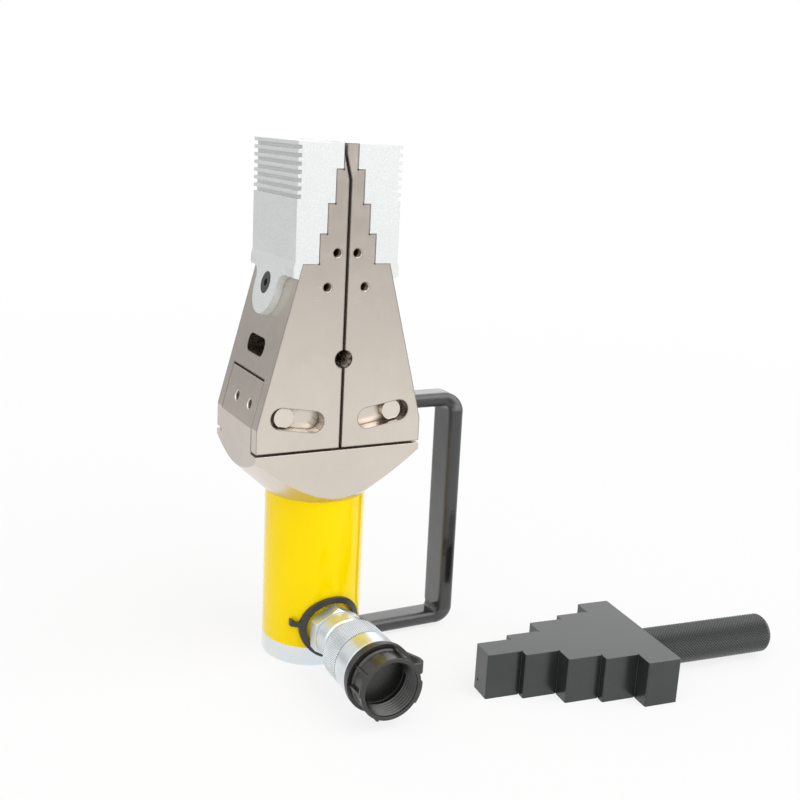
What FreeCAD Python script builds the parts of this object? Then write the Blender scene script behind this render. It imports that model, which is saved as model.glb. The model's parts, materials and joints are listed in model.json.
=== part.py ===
import FreeCAD, Part
import math
import os

# Hydraulic flange spreader: a parallel wedge spreader head on a short spring-return cylinder.
# Frame: origin at the centre of the cylinder's bottom face, +Z up along the cylinder,
# the split between the jaws faces -Y (front), the carrying handle is on +X.
# All sizes are in millimetres, all angles in degrees.

V = FreeCAD.Vector

# Clearances
fit_gap = 0.05
bolt_gap = 0.1
seat_gap = 0.2
slide_gap = 0.3
stop_gap = 0.3

# Cylinder
tube_r = 28.5
tube_length = 87.5
bore_r = 21.45
base_height = 11.5
base_spigot_height = 4.0
base_chamfer = 1.2
ring_section = 2.0
neck_r = 26.5
neck_length = 18.0
stop_ring_overhang = 0.5

# Moving piston and plunger
stroke = 54.0
plunger_r = 19.05
plunger_guide_gap = 0.08
plunger_bore_r = 13.5
plunger_top_wall = 16.0
piston_gap = 0.1
piston_height = 18.0
piston_bore_r = 12.2
piston_spigot_r = 17.0
piston_spigot_height = 10.0
seal_height = 4.0
seal_depth = 3.0
seal_inset = 3.0
stud_r = 6.0
stud_depth = 10.0
stud_reach = 14.0

# Return spring inside the plunger
spring_wire = 2.8
spring_mean_r = 9.3
spring_turns = 11
spring_foot_gap = 4.0
anchor_length = 12.0
anchor_shank_r = 4.0
anchor_shank_length = 5.0

# Spreader head
head_half_x = 48.5
half_depth = 31.6
head_base_height = 30.6
cone_slope = 0.92
upright_half_y = 23.5
upright_height = 38.6
upright_gap = 0.5
wiper_depth = 3.4
wiper_height = 4.5
wiper_inset = 4.1

# Jaws
jaw_bottom_gap = 1.5
jaw_height = 99.9
jaw_half_x = 48.3
shoulder_x = 25.0
taper_angle = 15.0
split_gap = 1.6
step_width = 4.0
first_step_height = 15.4
second_step_height = 15.4
third_step_height = 17.4
tip_height = 13.1
tip_lap = 3.2
tip_lap_straight = 5.3
tip_lap_slope = 13.0
tongue_half_y = 10.5
tongue_gap = 0.35
notch_gap_y = 0.35
notch_gap_z = 1.3
corner_relief_r = 0.45
plunger_relief_gap = 0.6
plunger_relief_height = 20.0

# Guide pins through the uprights, in slanted slots of the jaws' walls
pin_x = 31.8
pin_rise = 19.6
pin_r = 5.6
pin_flat_half = 5.1
pin_recess = 3.3
slot_angle = 9.4
slot_half_height = 5.85
slot_outer_gap = 3.2
slot_inner_gap = 2.4

# Windows and holes
window_length = 24.0
window_height = 10.0
window_radius = 4.0
window_drop = 49.1
window_depth = 30.0
split_hole_r = 5.0
split_hole_drop = 50.9
tapped_r = 2.1
tapped_depth = 10.0
tapped_chamfer = 0.5
upper_hole_x = 5.7
upper_hole_rise = 5.5
lower_hole_x = 10.7
lower_hole_drop = 12.4
upright_hole_spacing = 19.5
upright_hole_rise = 1.2
upright_tapped_r = 2.5
left_hole_offset_y = -3.0

# Wedge with its T-shaped rails
wedge_half_y = 15.0
wedge_base_x = 21.0
wedge_base_gap = 1.4
wedge_base_height = 9.0
wedge_tip_x = 3.5
rail_neck_half_y = 4.0
rail_neck_height = 2.0
rail_head_half_y = 8.0
rail_head_height = 2.3
rail_start = 6.0
rail_groove_gap = 0.75
rail_groove_floor = 4.0

# Stepped blocks
block_half_x = 29.2
block_leg = 4.3
block_leg_drop = 8.2
block_leg_flare = 0.9
lobe_r = 15.0
lobe_drop = 15.3
lobe_end_drop = 17.4
lobe_fillet = 7.0
groove_count = 7
groove_pitch = 4.08
groove_height = 2.1
groove_depth = 2.0
first_groove_drop = 3.0

# Screws
screw_rim = 0.3
block_screw_head_r = 6.0
block_screw_r = 3.0
block_screw_length = 18.0
block_screw_socket = 4.0
socket_depth = 2.4
foot_screw_head_r = 4.8
foot_screw_socket = 3.0
grub_length = 6.0
grub_recess = 1.2
grub_socket = 2.0

# Handle
handle_outer_x = 90.8
handle_lean = 1.2
handle_width = 22.5
handle_thick = 9.0
handle_arm_width = 15.5
handle_arm_thick = 8.2
handle_edge_r = 3.0
handle_bend_r = 6.5
handle_top_drop = 3.0
handle_low_z = 6.0
foot_length_y = 33.0
foot_height = 22.0
foot_thick = 5.0
foot_radius = 4.0
foot_offset = 2.0
dowel_r = 3.0
dowel_length = 12.0

# Port and coupler, outwards from the cylinder's axis along -Y
port_rise = 12.0
oil_hole_r = 4.0
port_thread_r = 8.6
port_wall = 2.5
hex_start = 31.2
hex_length = 7.8
hex_across_flats = 27.0
hex_corner_trim = 0.9
barrel_r = 13.5
barrel_length = 16.0
barrel_waist = 0.8
barrel_waist_length = 6.0
body_r = 12.0
body_length = 24.0
body_bore_r = 6.5
body_mouth_r = 3.7
seat_length = 4.0
collar_r = 17.8
collar_band_r = 17.4
collar_length = 30.6
collar_knurl_length = 17.8
collar_edge = 2.0
collar_gap = 0.4
collar_mouth_depth = 8.6
poppet_length = 9.0
poppet_travel = 3.0
poppet_stem_r = 2.5
poppet_stem_proud = 1.5
poppet_spring_wall = 1.4

# Dust cap
cap_flange_r = 18.2
cap_flange_width = 2.4
cap_groove_r = 15.8
cap_groove_width = 4.0
cap_wall_r = 16.4
cap_rim_r = 17.2
cap_rim_width = 1.6
cap_shoulder_width = 1.0
cap_length = 19.1
cap_socket_r = 15.0
cap_socket_draft = 0.6
cap_floor = 3.6
cap_stub_proud = 2.1
cap_stub_wall = 4.5
cap_stub_length = 6.0
cap_rib_r = 18.1
cap_rib_width = 1.8
cap_rib_angles = (66.0, 146.0, 181.0)

# Tether strap
strap_inner_r = 14.8
strap_outer_r = 18.2
strap_stand = 0.9
strap_shift_x = 0.5
strap_shift_z = 0.7
strap_thick = 1.8
strap_width = 6.0
strap_tab_length = 4.3
strap_tab_width = 2.8
strap_tab_rise = 2.8
strap_tab_end_width = 4.0
strap_tab_end_length = 1.4
strap_eye_gap = 0.5
strap_eye_wall = 3.4
strap_run_x = 20.2
strap_run_start = 38.0
strap_run_end = 70.0
strap_bulge_x = 26.5
strap_bulge_start = 85.0
strap_bend_r = 3.0

# Safety block, lying on the floor in front and to the right
block_x = 64.2
block_y = -89.0
block_turn = -6.5
safety_thick = 26.2
nose_width = 15.0
safety_step = 20.5
small_rise = 4.9
large_rise = 10.9
safety_edge_r = 0.8
safety_relief_r = 0.5
nose_hole_r = 0.8
nose_hole_depth = 3.0
nose_hole_y = 3.4
nose_hole_z = 6.5
grip_r = 11.6
grip_length = 86.0
grip_chamfer = 1.5
grip_stud_r = 6.0
grip_stud_length = 18.0

# Derived values
tan_taper = math.tan(math.radians(taper_angle))
sin_taper = math.sin(math.radians(taper_angle))
cos_taper = math.cos(math.radians(taper_angle))
head_bottom = base_height + tube_length
head_top = head_bottom + head_base_height
neck_top = head_bottom + neck_length
jaw_bottom = head_top + jaw_bottom_gap
shoulder_z = jaw_bottom + jaw_height
first_step_z = shoulder_z + first_step_height
second_step_z = first_step_z + second_step_height
third_step_z = second_step_z + third_step_height
top_z = third_step_z + tip_height
upright_top = head_top + upright_height
notch_top = upright_top + notch_gap_z
notch_half_y = upright_half_y + notch_gap_y
wedge_base_z = head_top + wedge_base_gap
wedge_shoulder_z = wedge_base_z + wedge_base_height
wedge_tip_z = wedge_shoulder_z + (wedge_base_x - wedge_tip_x) / tan_taper
rail_height = rail_neck_height + rail_head_height
rail_low_z = wedge_shoulder_z + rail_start
upright_inner_x = wedge_base_x + upright_gap
guide_r = plunger_r + plunger_guide_gap
wiper_low = head_top - wiper_inset - wiper_height
wiper_r = guide_r + wiper_depth
pin_z = head_top + pin_rise
pin_travel = stroke * sin_taper / math.cos(math.radians(taper_angle - slot_angle))
slot_length = pin_travel + 2 * pin_r + slot_outer_gap + slot_inner_gap
piston_r = bore_r - piston_gap
seal_r = bore_r - fit_gap
piston_top = head_bottom - stop_ring_overhang - stop_gap - stroke
piston_low = piston_top - piston_height
base_floor = base_height + base_spigot_height
anchor_r = spring_mean_r - spring_wire / 2 - slide_gap
plunger_ceiling = wedge_base_z - plunger_top_wall
spring_low = base_floor + spring_foot_gap
spring_high = plunger_ceiling - spring_wire
port_z = base_height + port_rise
port_bottom = bore_r + port_wall
hex_end = hex_start + hex_length
barrel_end = hex_end + barrel_length
body_end = barrel_end + body_length
body_seat = body_end - 2 * seat_length
collar_start = barrel_end + collar_gap
collar_end = collar_start + collar_length
collar_mouth = collar_end - collar_mouth_depth
cap_start = collar_end + collar_gap
cap_stub_r = body_r + cap_stub_proud
collar_mouth_r = cap_stub_r + slide_gap
cap_flange_end = cap_start + cap_flange_width
cap_groove_end = cap_flange_end + cap_groove_width
cap_end = cap_start + cap_length
pin_drop = (shoulder_z - pin_z) * cos_taper + (pin_x - shoulder_x) * sin_taper
pin_depth = (shoulder_z - pin_z) * sin_taper - (pin_x - shoulder_x) * cos_taper
upright_hole_drop = pin_drop - upright_hole_rise
far = 400.0


def box(x0, x1, y0, y1, z0, z1):
    """A box between two corners."""
    return Part.makeBox(x1 - x0, y1 - y0, z1 - z0, V(x0, y0, z0))


def cylinder(r, z0, z1, x=0.0, y=0.0):
    """A vertical cylinder."""
    return Part.makeCylinder(r, z1 - z0, V(x, y, z0))


def ring(r_in, r_out, z0, z1):
    """A vertical tube."""
    return cylinder(r_out, z0, z1).cut(cylinder(r_in, z0 - 1, z1 + 1))


def rod_x(r, x0, x1, z):
    """A cylinder along X in the middle plane."""
    return Part.makeCylinder(r, x1 - x0, V(x0, 0, z), V(1, 0, 0))


def rod_y(r, y0, y1, x, z):
    """A cylinder along Y."""
    return Part.makeCylinder(r, y1 - y0, V(x, y0, z), V(0, 1, 0))


def prism_y(points, y0, y1):
    """A polygon of (x, z) points extruded along Y."""
    corners = [V(x, y0, z) for x, z in points]
    face = Part.Face(Part.makePolygon(corners + corners[:1]))
    return face.extrude(V(0, y1 - y0, 0))


def prism_z(points, z0, z1):
    """A polygon of (x, y) points extruded along Z."""
    corners = [V(x, y, z0) for x, y in points]
    face = Part.Face(Part.makePolygon(corners + corners[:1]))
    return face.extrude(V(0, 0, z1 - z0))


def mirrored(points, side):
    """Polygon points on the right (side 1) or the left (side -1)."""
    return [(side * x, z) for x, z in points]


def hexagon(across_flats, z0, z1, turn=0.0):
    """A hexagonal bar about Z with a corner at the given angle."""
    r = across_flats / math.sqrt(3)
    angles = [math.radians(turn + 60 * k) for k in range(6)]
    return prism_z([(r * math.cos(a), r * math.sin(a)) for a in angles], z0, z1)


def turned(profile):
    """A solid of revolution about Z from (radius, z) points."""
    corners = [V(r, 0, z) for r, z in profile]
    face = Part.Face(Part.makePolygon(corners + corners[:1]))
    return face.revolve(V(0, 0, 0), V(0, 0, 1), 360)


def rounded_path(points, radius):
    """Straight runs through the points, joined by tangent arcs."""
    edges = []
    start = points[0]
    for before, corner, after in zip(points, points[1:], points[2:]):
        a = (before - corner).normalize()
        b = (after - corner).normalize()
        half = a.getAngle(b) / 2
        cut = radius / math.tan(half)
        p = corner + a * cut
        q = corner + b * cut
        middle = (a + b).normalize()
        m = corner + middle * (radius / math.sin(half) - radius)
        edges.append(Part.makeLine(start, p))
        edges.append(Part.Arc(p, m, q).toShape())
        start = q
    edges.append(Part.makeLine(start, points[-1]))
    return Part.Wire(edges)


def placed(shape, x_axis, y_axis, z_axis, origin):
    """The shape moved from its own axes to the given axes and origin."""
    matrix = FreeCAD.Matrix(
        x_axis.x, y_axis.x, z_axis.x, origin.x,
        x_axis.y, y_axis.y, z_axis.y, origin.y,
        x_axis.z, y_axis.z, z_axis.z, origin.z,
        0, 0, 0, 1)
    result = shape.copy()
    result.Placement = FreeCAD.Placement(matrix).multiply(shape.Placement)
    return result


def on_taper(shape, side):
    """From taper axes (across, down the slope, into the head) to the part.

    The origin is the shoulder edge where the taper starts.
    """
    across = V(0, side, 0)
    down = V(side * sin_taper, 0, -cos_taper)
    inward = V(-side * cos_taper, 0, -sin_taper)
    return placed(shape, across, down, inward, V(side * shoulder_x, 0, shoulder_z))


def on_port(shape):
    """From port axes (Z outwards from the cylinder) to the part."""
    return placed(shape, V(1, 0, 0), V(0, 0, 1), V(0, -1, 0), V(0, 0, port_z))


def on_slot(shape, side):
    """From slot axes (X along the slot, Y upwards, origin on the pin) to the part."""
    a = math.radians(slot_angle)
    along = V(side * math.cos(a), 0, math.sin(a))
    up = V(-side * math.sin(a), 0, math.cos(a))
    return placed(shape, along, up, along.cross(up), V(side * pin_x, 0, pin_z))


def obround(length, half_height, z0, z1, x0):
    """A slot shape from x0 to x0 + length."""
    r = half_height
    body = box(x0 + r, x0 + length - r, -r, r, z0, z1)
    body = body.fuse(cylinder(r, z0, z1, x0 + r, 0))
    return body.fuse(cylinder(r, z0, z1, x0 + length - r, 0)).removeSplitter()


def taper_x(z):
    """Half width of the head's taper at a height."""
    return shoulder_x + (shoulder_z - z) * tan_taper


def flank_x(z):
    """Half width of the wedge's flank at a height, at rest."""
    return wedge_base_x - (z - wedge_shoulder_z) * tan_taper


def flank_prism(side, inner, outer, half_y, z0, z1):
    """A prism along the wedge's flank, between two distances outside it."""
    points = [
        (flank_x(z0) + inner / cos_taper, z0), (flank_x(z0) + outer / cos_taper, z0),
        (flank_x(z1) + outer / cos_taper, z1), (flank_x(z1) + inner / cos_taper, z1),
    ]
    return prism_y(mirrored(points, side), -half_y, half_y)


def countersunk(head_r, shank_r, length, mouth=0.0):
    """A countersunk screw's outer form along +Z, or its hole with an open mouth."""
    cone = head_r - shank_r + screw_rim
    return turned([(0, -mouth), (head_r, -mouth), (head_r, screw_rim), (shank_r, cone), (shank_r, length), (0, length)])


# Cylinder parts


def base_plug():
    """Closed bottom of the cylinder, the plain ring under the painted tube."""
    disc = cylinder(tube_r, 0, base_height)
    disc = disc.makeChamfer(base_chamfer, [e for e in disc.Edges if e.BoundBox.ZMax < base_chamfer])
    spigot = cylinder(bore_r - fit_gap, base_height, base_floor)
    groove_mid = base_height + base_spigot_height / 2
    half = ring_section / 2
    groove = ring(bore_r - ring_section, bore_r + 1, groove_mid - half, groove_mid + half)
    anchor_hole = cylinder(anchor_shank_r, base_floor - anchor_shank_length, base_floor + 1)
    dowel_hole = rod_x(dowel_r, tube_r - dowel_length / 2, tube_r + 1, handle_low_z)
    return disc.fuse(spigot).cut(groove).cut(anchor_hole).cut(dowel_hole).removeSplitter()


def base_o_ring():
    """O-ring in the base plug's groove, squeezed against the bore."""
    mid = base_height + base_spigot_height / 2
    return Part.makeTorus(bore_r - ring_section / 2, ring_section / 2, V(0, 0, mid))


def cylinder_tube():
    """Painted tube with its threaded neck and the port hole."""
    body = cylinder(tube_r, base_height, head_bottom)
    neck = cylinder(neck_r, head_bottom, neck_top)
    tube = body.fuse(neck).cut(cylinder(bore_r, base_height - 1, neck_top + 1))
    thread_hole = on_port(cylinder(port_thread_r, port_bottom, tube_r + 1))
    oil_hole = on_port(cylinder(oil_hole_r, bore_r - port_wall, tube_r))
    return tube.cut(thread_hole).cut(oil_hole).removeSplitter()


def stop_ring():
    """Bronze ring that guides the plunger and stops the piston."""
    return ring(guide_r, bore_r, head_bottom - stop_ring_overhang, neck_top)


def rod_wiper():
    """Wiper ring in its groove in the head."""
    return ring(plunger_r + fit_gap, wiper_r, wiper_low, wiper_low + wiper_height)


def piston_groove(z):
    """One of the piston's two ring grooves."""
    return ring(piston_r - seal_depth, piston_r + 1, z, z + seal_height)


def piston():
    """Piston ring at the foot of the plunger."""
    body = ring(piston_bore_r, piston_r, piston_low, piston_top)
    body = body.cut(cylinder(piston_spigot_r, piston_top - piston_spigot_height, piston_top + 1))
    upper = piston_top - seal_inset - seal_height
    return body.cut(piston_groove(piston_low + seal_inset)).cut(piston_groove(upper))


def piston_seal():
    """Lip seal in the piston's lower groove."""
    z = piston_low + seal_inset
    return ring(piston_r - seal_depth, seal_r, z, z + seal_height)


def wear_ring():
    """Bearing ring in the piston's upper groove."""
    z = piston_top - seal_inset - seal_height
    return ring(piston_r - seal_depth, seal_r, z, z + seal_height)


def plunger():
    """Hollow plunger with a closed top."""
    spigot_low = piston_top - piston_spigot_height
    body = cylinder(plunger_r, piston_top, wedge_base_z)
    spigot = cylinder(piston_spigot_r, spigot_low, piston_top)
    hollow = cylinder(plunger_bore_r, spigot_low - 1, plunger_ceiling)
    stud_hole = cylinder(stud_r, wedge_base_z - stud_depth, wedge_base_z + 1)
    anchor_hole = cylinder(anchor_shank_r, plunger_ceiling - 1, plunger_ceiling + anchor_shank_length)
    return body.fuse(spigot).cut(hollow).cut(stud_hole).cut(anchor_hole).removeSplitter()


def lower_spring_anchor():
    """Post screwed into the base, which holds the spring's lower end."""
    post = cylinder(anchor_r, base_floor, base_floor + anchor_length)
    shank = cylinder(anchor_shank_r, base_floor - anchor_shank_length, base_floor)
    return post.fuse(shank).removeSplitter()


def upper_spring_anchor():
    """Post screwed into the plunger's top, which holds the spring's upper end."""
    post = cylinder(anchor_r, plunger_ceiling - anchor_length, plunger_ceiling)
    shank = cylinder(anchor_shank_r, plunger_ceiling, plunger_ceiling + anchor_shank_length)
    return post.fuse(shank).removeSplitter()


def return_spring():
    """Extension spring that pulls the plunger back."""
    height = spring_high - spring_low
    helix = Part.makeHelix(height / spring_turns, height, spring_mean_r)
    profile = Part.Wire(Part.makeCircle(spring_wire / 2, V(spring_mean_r, 0, 0), V(0, 1, 0)))
    coil = Part.Wire(helix).makePipeShell([profile], True, True)
    coil.translate(V(0, 0, spring_low))
    return coil


# Head and guide parts


def head_cone():
    """The flare from the tube up to the head's four sides."""
    return Part.makeCone(tube_r, tube_r + head_base_height / cone_slope, head_base_height, V(0, 0, head_bottom))


def upright(side):
    """One of the two posts between the jaw's walls, flush with the taper."""
    bend_z = shoulder_z - (head_half_x - shoulder_x) / tan_taper
    points = [
        (upright_inner_x, head_top), (head_half_x, head_top), (head_half_x, bend_z),
        (taper_x(upright_top), upright_top), (upright_inner_x, upright_top),
    ]
    post = prism_y(mirrored(points, side), -upright_half_y, upright_half_y)
    groove_x = flank_x(rail_low_z) + rail_height / cos_taper + rail_groove_gap
    groove_half = rail_head_half_y + slide_gap
    groove_low = head_top + rail_groove_floor
    groove = box(min(0, side * groove_x), max(0, side * groove_x), -groove_half, groove_half, groove_low, far)
    hole = rod_y(pin_r + fit_gap, -upright_half_y - 1, upright_half_y + 1, side * pin_x, pin_z)
    return post.cut(groove).cut(hole)


def head_webs():
    """Front and rear walls between the uprights, clear of the wedge and the plunger."""
    walls = box(-upright_inner_x - 1, upright_inner_x + 1, -upright_half_y, upright_half_y, head_top, upright_top)
    half = wedge_half_y + slide_gap
    walls = walls.cut(box(-far, far, -half, half, 0, far))
    return walls.cut(cylinder(plunger_r + slide_gap, head_top - 1, far))


def upright_holes(side, offset):
    """Two tapped holes, square to the taper, from its face to the guide pin."""
    mouth_r = upright_tapped_r + tapped_chamfer
    holes = []
    for sign in (-1, 1):
        y = side * offset + sign * upright_hole_spacing / 2
        hole = turned([(0, -1), (mouth_r, -1), (mouth_r, 0), (upright_tapped_r, tapped_chamfer),
                       (upright_tapped_r, pin_depth), (0, pin_depth)])
        hole.translate(V(y, upright_hole_drop, 0))
        holes.append(hole)
    return on_taper(Part.Compound(holes), side)


def head_housing():
    """The head's body: flared base with two uprights and the webs between them."""
    block = box(-head_half_x, head_half_x, -half_depth, half_depth, head_bottom, head_top)
    body = block.common(head_cone())
    body = body.fuse([upright(1), upright(-1), head_webs()])
    body = body.cut(cylinder(neck_r + fit_gap, head_bottom - 1, neck_top + slide_gap))
    body = body.cut(cylinder(guide_r, head_bottom - 1, head_top + 1))
    body = body.cut(cylinder(wiper_r, wiper_low, wiper_low + wiper_height))
    body = body.cut(upright_holes(-1, left_hole_offset_y)).cut(upright_holes(1, 0.0))
    return body.removeSplitter()


def guide_pin(side):
    """Cross pin through an upright, with flats where it runs in the slots."""
    half = half_depth - pin_recess
    bar = cylinder(pin_r, -half, half)
    reach = 2 * pin_r
    for sign in (-1, 1):
        z0 = min(sign * upright_half_y, sign * far)
        z1 = max(sign * upright_half_y, sign * far)
        bar = bar.cut(box(-reach, reach, pin_flat_half, reach, z0, z1))
        bar = bar.cut(box(-reach, reach, -reach, -pin_flat_half, z0, z1))
    return on_slot(bar, side)


def pin_grub_screws():
    """Two grub screws that lock the left guide pin."""
    screws = []
    for sign in (-1, 1):
        y = -left_hole_offset_y + sign * upright_hole_spacing / 2
        screw = Part.makeCylinder(upright_tapped_r, grub_length, V(0, 0, grub_recess))
        screw = screw.cut(hexagon(grub_socket, grub_recess - 1, grub_recess + grub_socket))
        screw.translate(V(y, upright_hole_drop, 0))
        screws.append(screw)
    return on_taper(Part.Compound(screws), -1)


# Wedge


def wedge():
    """The wedge with a T-shaped rail along each flank."""
    points = [
        (-wedge_base_x, wedge_base_z), (wedge_base_x, wedge_base_z),
        (wedge_base_x, wedge_shoulder_z), (wedge_tip_x, wedge_tip_z),
        (-wedge_tip_x, wedge_tip_z), (-wedge_base_x, wedge_shoulder_z),
    ]
    body = prism_y(points, -wedge_half_y, wedge_half_y)
    overlap = rail_head_height / 2
    for side in (-1, 1):
        neck = flank_prism(side, -overlap, rail_neck_height + overlap, rail_neck_half_y, rail_low_z, wedge_tip_z)
        head = flank_prism(side, rail_neck_height, rail_height, rail_head_half_y, rail_low_z, wedge_tip_z)
        body = body.fuse([neck, head])
    return body.cut(cylinder(stud_r, wedge_base_z - 1, wedge_base_z + stud_reach)).removeSplitter()


def wedge_stud():
    """Threaded stud that joins the wedge to the plunger."""
    return cylinder(stud_r, wedge_base_z - stud_depth, wedge_base_z + stud_reach)


# Jaws


def stair(gap=0.0):
    """The steps from the shoulder to the tip as (x, z) corners on the right side."""
    levels = [shoulder_z, first_step_z, second_step_z, third_step_z, top_z]
    last = len(levels) - 2
    points = []
    for index, (low, high) in enumerate(zip(levels, levels[1:])):
        x = step_width * (last + 1 - index) + gap
        points += [(x, low + gap * (index > 0)), (x, high + gap * (index < last))]
    return points


def jaw_outline(long_tip):
    """The jaw's front outline on the right side, with a tip that laps over or is lapped."""
    half = split_gap / 2
    lap_top = top_z - tip_lap_straight
    lap_low = lap_top - tip_lap_slope
    bend_z = shoulder_z - (jaw_half_x - shoulder_x) / tan_taper
    points = [(half, jaw_bottom), (jaw_half_x, jaw_bottom), (jaw_half_x, bend_z), (shoulder_x, shoulder_z)]
    points += stair()
    if long_tip:
        return points + [(half - tip_lap, top_z), (half - tip_lap, lap_top), (half, lap_low)]
    return points[:-1] + [(half + tip_lap, lap_top), (half, lap_low)]


def tapped_holes(side):
    """Small tapped holes in the front and rear faces."""
    holes = []
    spots = ((upper_hole_x, shoulder_z + upper_hole_rise), (lower_hole_x, shoulder_z - lower_hole_drop))
    for x, z in spots:
        for sign in (-1, 1):
            mouth = V(side * x, sign * half_depth, z)
            inward = V(0, -sign, 0)
            holes.append(Part.makeCylinder(tapped_r, tapped_depth, mouth, inward))
            holes.append(Part.makeCone(tapped_r + tapped_chamfer, tapped_r, tapped_chamfer, mouth, inward))
    return holes


def step_reliefs(side):
    """Round reliefs in the inner corners of the steps."""
    inner = stair()[0:8:2]
    return [rod_y(corner_relief_r, -half_depth - 1, half_depth + 1, side * x, z) for x, z in inner]


def window(side):
    """Oblong window through the jaw's outer wall."""
    hx = window_length / 2
    hy = window_height / 2
    body = box(-hx, hx, window_drop - hy, window_drop + hy, -1, window_depth)
    edges = [e for e in body.Edges if e.BoundBox.ZLength > window_depth / 2]
    return on_taper(body.makeFillet(window_radius, edges), side)


def wedge_channel(side):
    """The space for the wedge inside a jaw: ramp and T-slot."""
    low = notch_top - 1
    reach = rail_height + window_depth
    ramp = flank_prism(side, -reach, slide_gap, wedge_half_y + slide_gap, low, top_z)
    neck = flank_prism(side, 0, rail_neck_height + slide_gap, rail_neck_half_y + slide_gap, low, top_z)
    head = flank_prism(side, rail_neck_height - slide_gap, rail_height + slide_gap,
                       rail_head_half_y + slide_gap, low, top_z)
    return [ramp, neck, head]


def split_holes():
    """Holes on the split line, front and rear, half in each jaw, through to the wedge."""
    z = shoulder_z - split_hole_drop
    front = rod_y(split_hole_r, -half_depth - 1, -wedge_half_y, 0, z)
    rear = rod_y(split_hole_r, wedge_half_y, half_depth + 1, 0, z)
    return [front, rear]


def jaw(side, long_tips):
    """A jaw: stepped tip, two legs with guide slots, ramp and T-slot for the wedge."""
    ends = prism_y(mirrored(jaw_outline(long_tips), side), -half_depth, half_depth)
    centre = prism_y(mirrored(jaw_outline(not long_tips), side), -half_depth, half_depth)
    lap_low = top_z - tip_lap_straight - tip_lap_slope
    half_tongue = tongue_half_y + (tongue_gap if long_tips else 0.0)
    middle = box(-far, far, -half_tongue, half_tongue, lap_low, far)
    body = ends.cut(middle).fuse(centre.common(middle)).removeSplitter()
    notch = box(-far, far, -notch_half_y, notch_half_y, 0, notch_top)
    plunger_relief = cylinder(plunger_r + plunger_relief_gap, notch_top - 1, notch_top + plunger_relief_height)
    slot = on_slot(obround(slot_length, slot_half_height, -far, far, pin_r + slot_outer_gap - slot_length), side)
    cuts = [notch, plunger_relief, slot, on_taper(block_screw_hole(), side), window(side)]
    cuts += wedge_channel(side) + split_holes() + tapped_holes(side) + step_reliefs(side)
    for tool in cuts:
        body = body.cut(tool)
    return body.removeSplitter()


# Stepped blocks


def block_screw_hole():
    """Countersunk hole for the block screw, in taper axes."""
    hole = countersunk(block_screw_head_r + bolt_gap, block_screw_r + bolt_gap, block_screw_length + 1, 1)
    hole.translate(V(0, lobe_drop, -block_leg))
    return hole


def block_lobe():
    """Leg and round lobe that lie on the taper, in taper axes."""
    h = half_depth
    r = lobe_r
    d = block_leg_drop
    end = lobe_end_drop
    f = min(lobe_fillet, h - r - 1, end - d - 1)
    c = f * (1 - math.sqrt(0.5))
    corners = [V(-r, end, 0), V(-r, d + f, 0), V(-r - f, d, 0), V(-h, d, 0), V(-h, 0, 0),
               V(h, 0, 0), V(h, d, 0), V(r + f, d, 0), V(r, d + f, 0), V(r, end, 0)]
    edges = []
    for index, (first, last) in enumerate(zip(corners, corners[1:])):
        if index in (1, 7):
            side = -1 if index == 1 else 1
            edges.append(Part.Arc(first, V(side * (r + c), d + c, 0), last).toShape())
        else:
            edges.append(Part.makeLine(first, last))
    edges.append(Part.Arc(corners[-1], V(0, end + r, 0), corners[0]).toShape())
    return Part.Face(Part.Wire(edges)).extrude(V(0, 0, -block_leg))


def block_plate(side):
    """The leg and lobe in place, with the leg's ends milled back to stand less proud than the lobe."""
    plate = on_taper(block_lobe(), side)
    x0, x1 = sorted((side * (block_half_x + block_leg_flare), side * far))
    for sign in (-1, 1):
        y0, y1 = sorted((sign * (lobe_r + lobe_fillet), sign * far))
        plate = plate.cut(box(x0, x1, y0, y1, 0, far))
    return plate


def block_outline():
    """Front outline of a stepped block on the right side."""
    bend_z = shoulder_z + (shoulder_x + block_leg / cos_taper - block_half_x) / tan_taper
    foot = (shoulder_x + block_leg * cos_taper, shoulder_z + block_leg * sin_taper)
    points = [(block_half_x, top_z), (block_half_x, bend_z), foot, (shoulder_x, shoulder_z)]
    inner = stair(seat_gap)
    inner[-1] = (inner[-1][0], top_z)
    return points + inner


def step_block(side):
    """Stepped block with gripping grooves, seated on the jaw's steps."""
    body = prism_y(mirrored(block_outline(), side), -half_depth, half_depth)
    body = body.fuse(block_plate(side))
    for k in range(groove_count):
        z = top_z - first_groove_drop - k * groove_pitch
        edges = sorted((side * (block_half_x - groove_depth), side * (block_half_x + 1)))
        body = body.cut(box(edges[0], edges[1], -far, far, z - groove_height / 2, z + groove_height / 2))
    return body.cut(on_taper(block_screw_hole(), side)).removeSplitter()


def block_screw(side):
    """Countersunk screw through the lobe into the jaw."""
    screw = countersunk(block_screw_head_r, block_screw_r, block_screw_length)
    screw = screw.cut(hexagon(block_screw_socket, -1, socket_depth))
    screw.translate(V(0, lobe_drop, -block_leg))
    return on_taper(screw, side)


# Handle


def handle_section(middle, along, width, thick):
    """Rounded rectangle across the bar at a point of its path."""
    outward = along.cross(V(0, 1, 0))
    r = handle_edge_r
    arcs = []
    for quarter, (side, face) in enumerate(((1, 1), (-1, 1), (-1, -1), (1, -1))):
        turns = [math.radians(90 * quarter + 45 * k) for k in range(3)]
        y = side * (width / 2 - r)
        depth = face * (thick / 2 - r)
        spots = [middle + V(0, y + r * math.cos(a), 0) + outward * (depth + r * math.sin(a)) for a in turns]
        arcs.append(Part.Arc(*spots).toShape())
    joins = [Part.makeLine(a.Vertexes[-1].Point, b.Vertexes[0].Point) for a, b in zip(arcs, arcs[1:] + arcs[:1])]
    return Part.Wire([edge for pair in zip(arcs, joins) for edge in pair])


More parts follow.
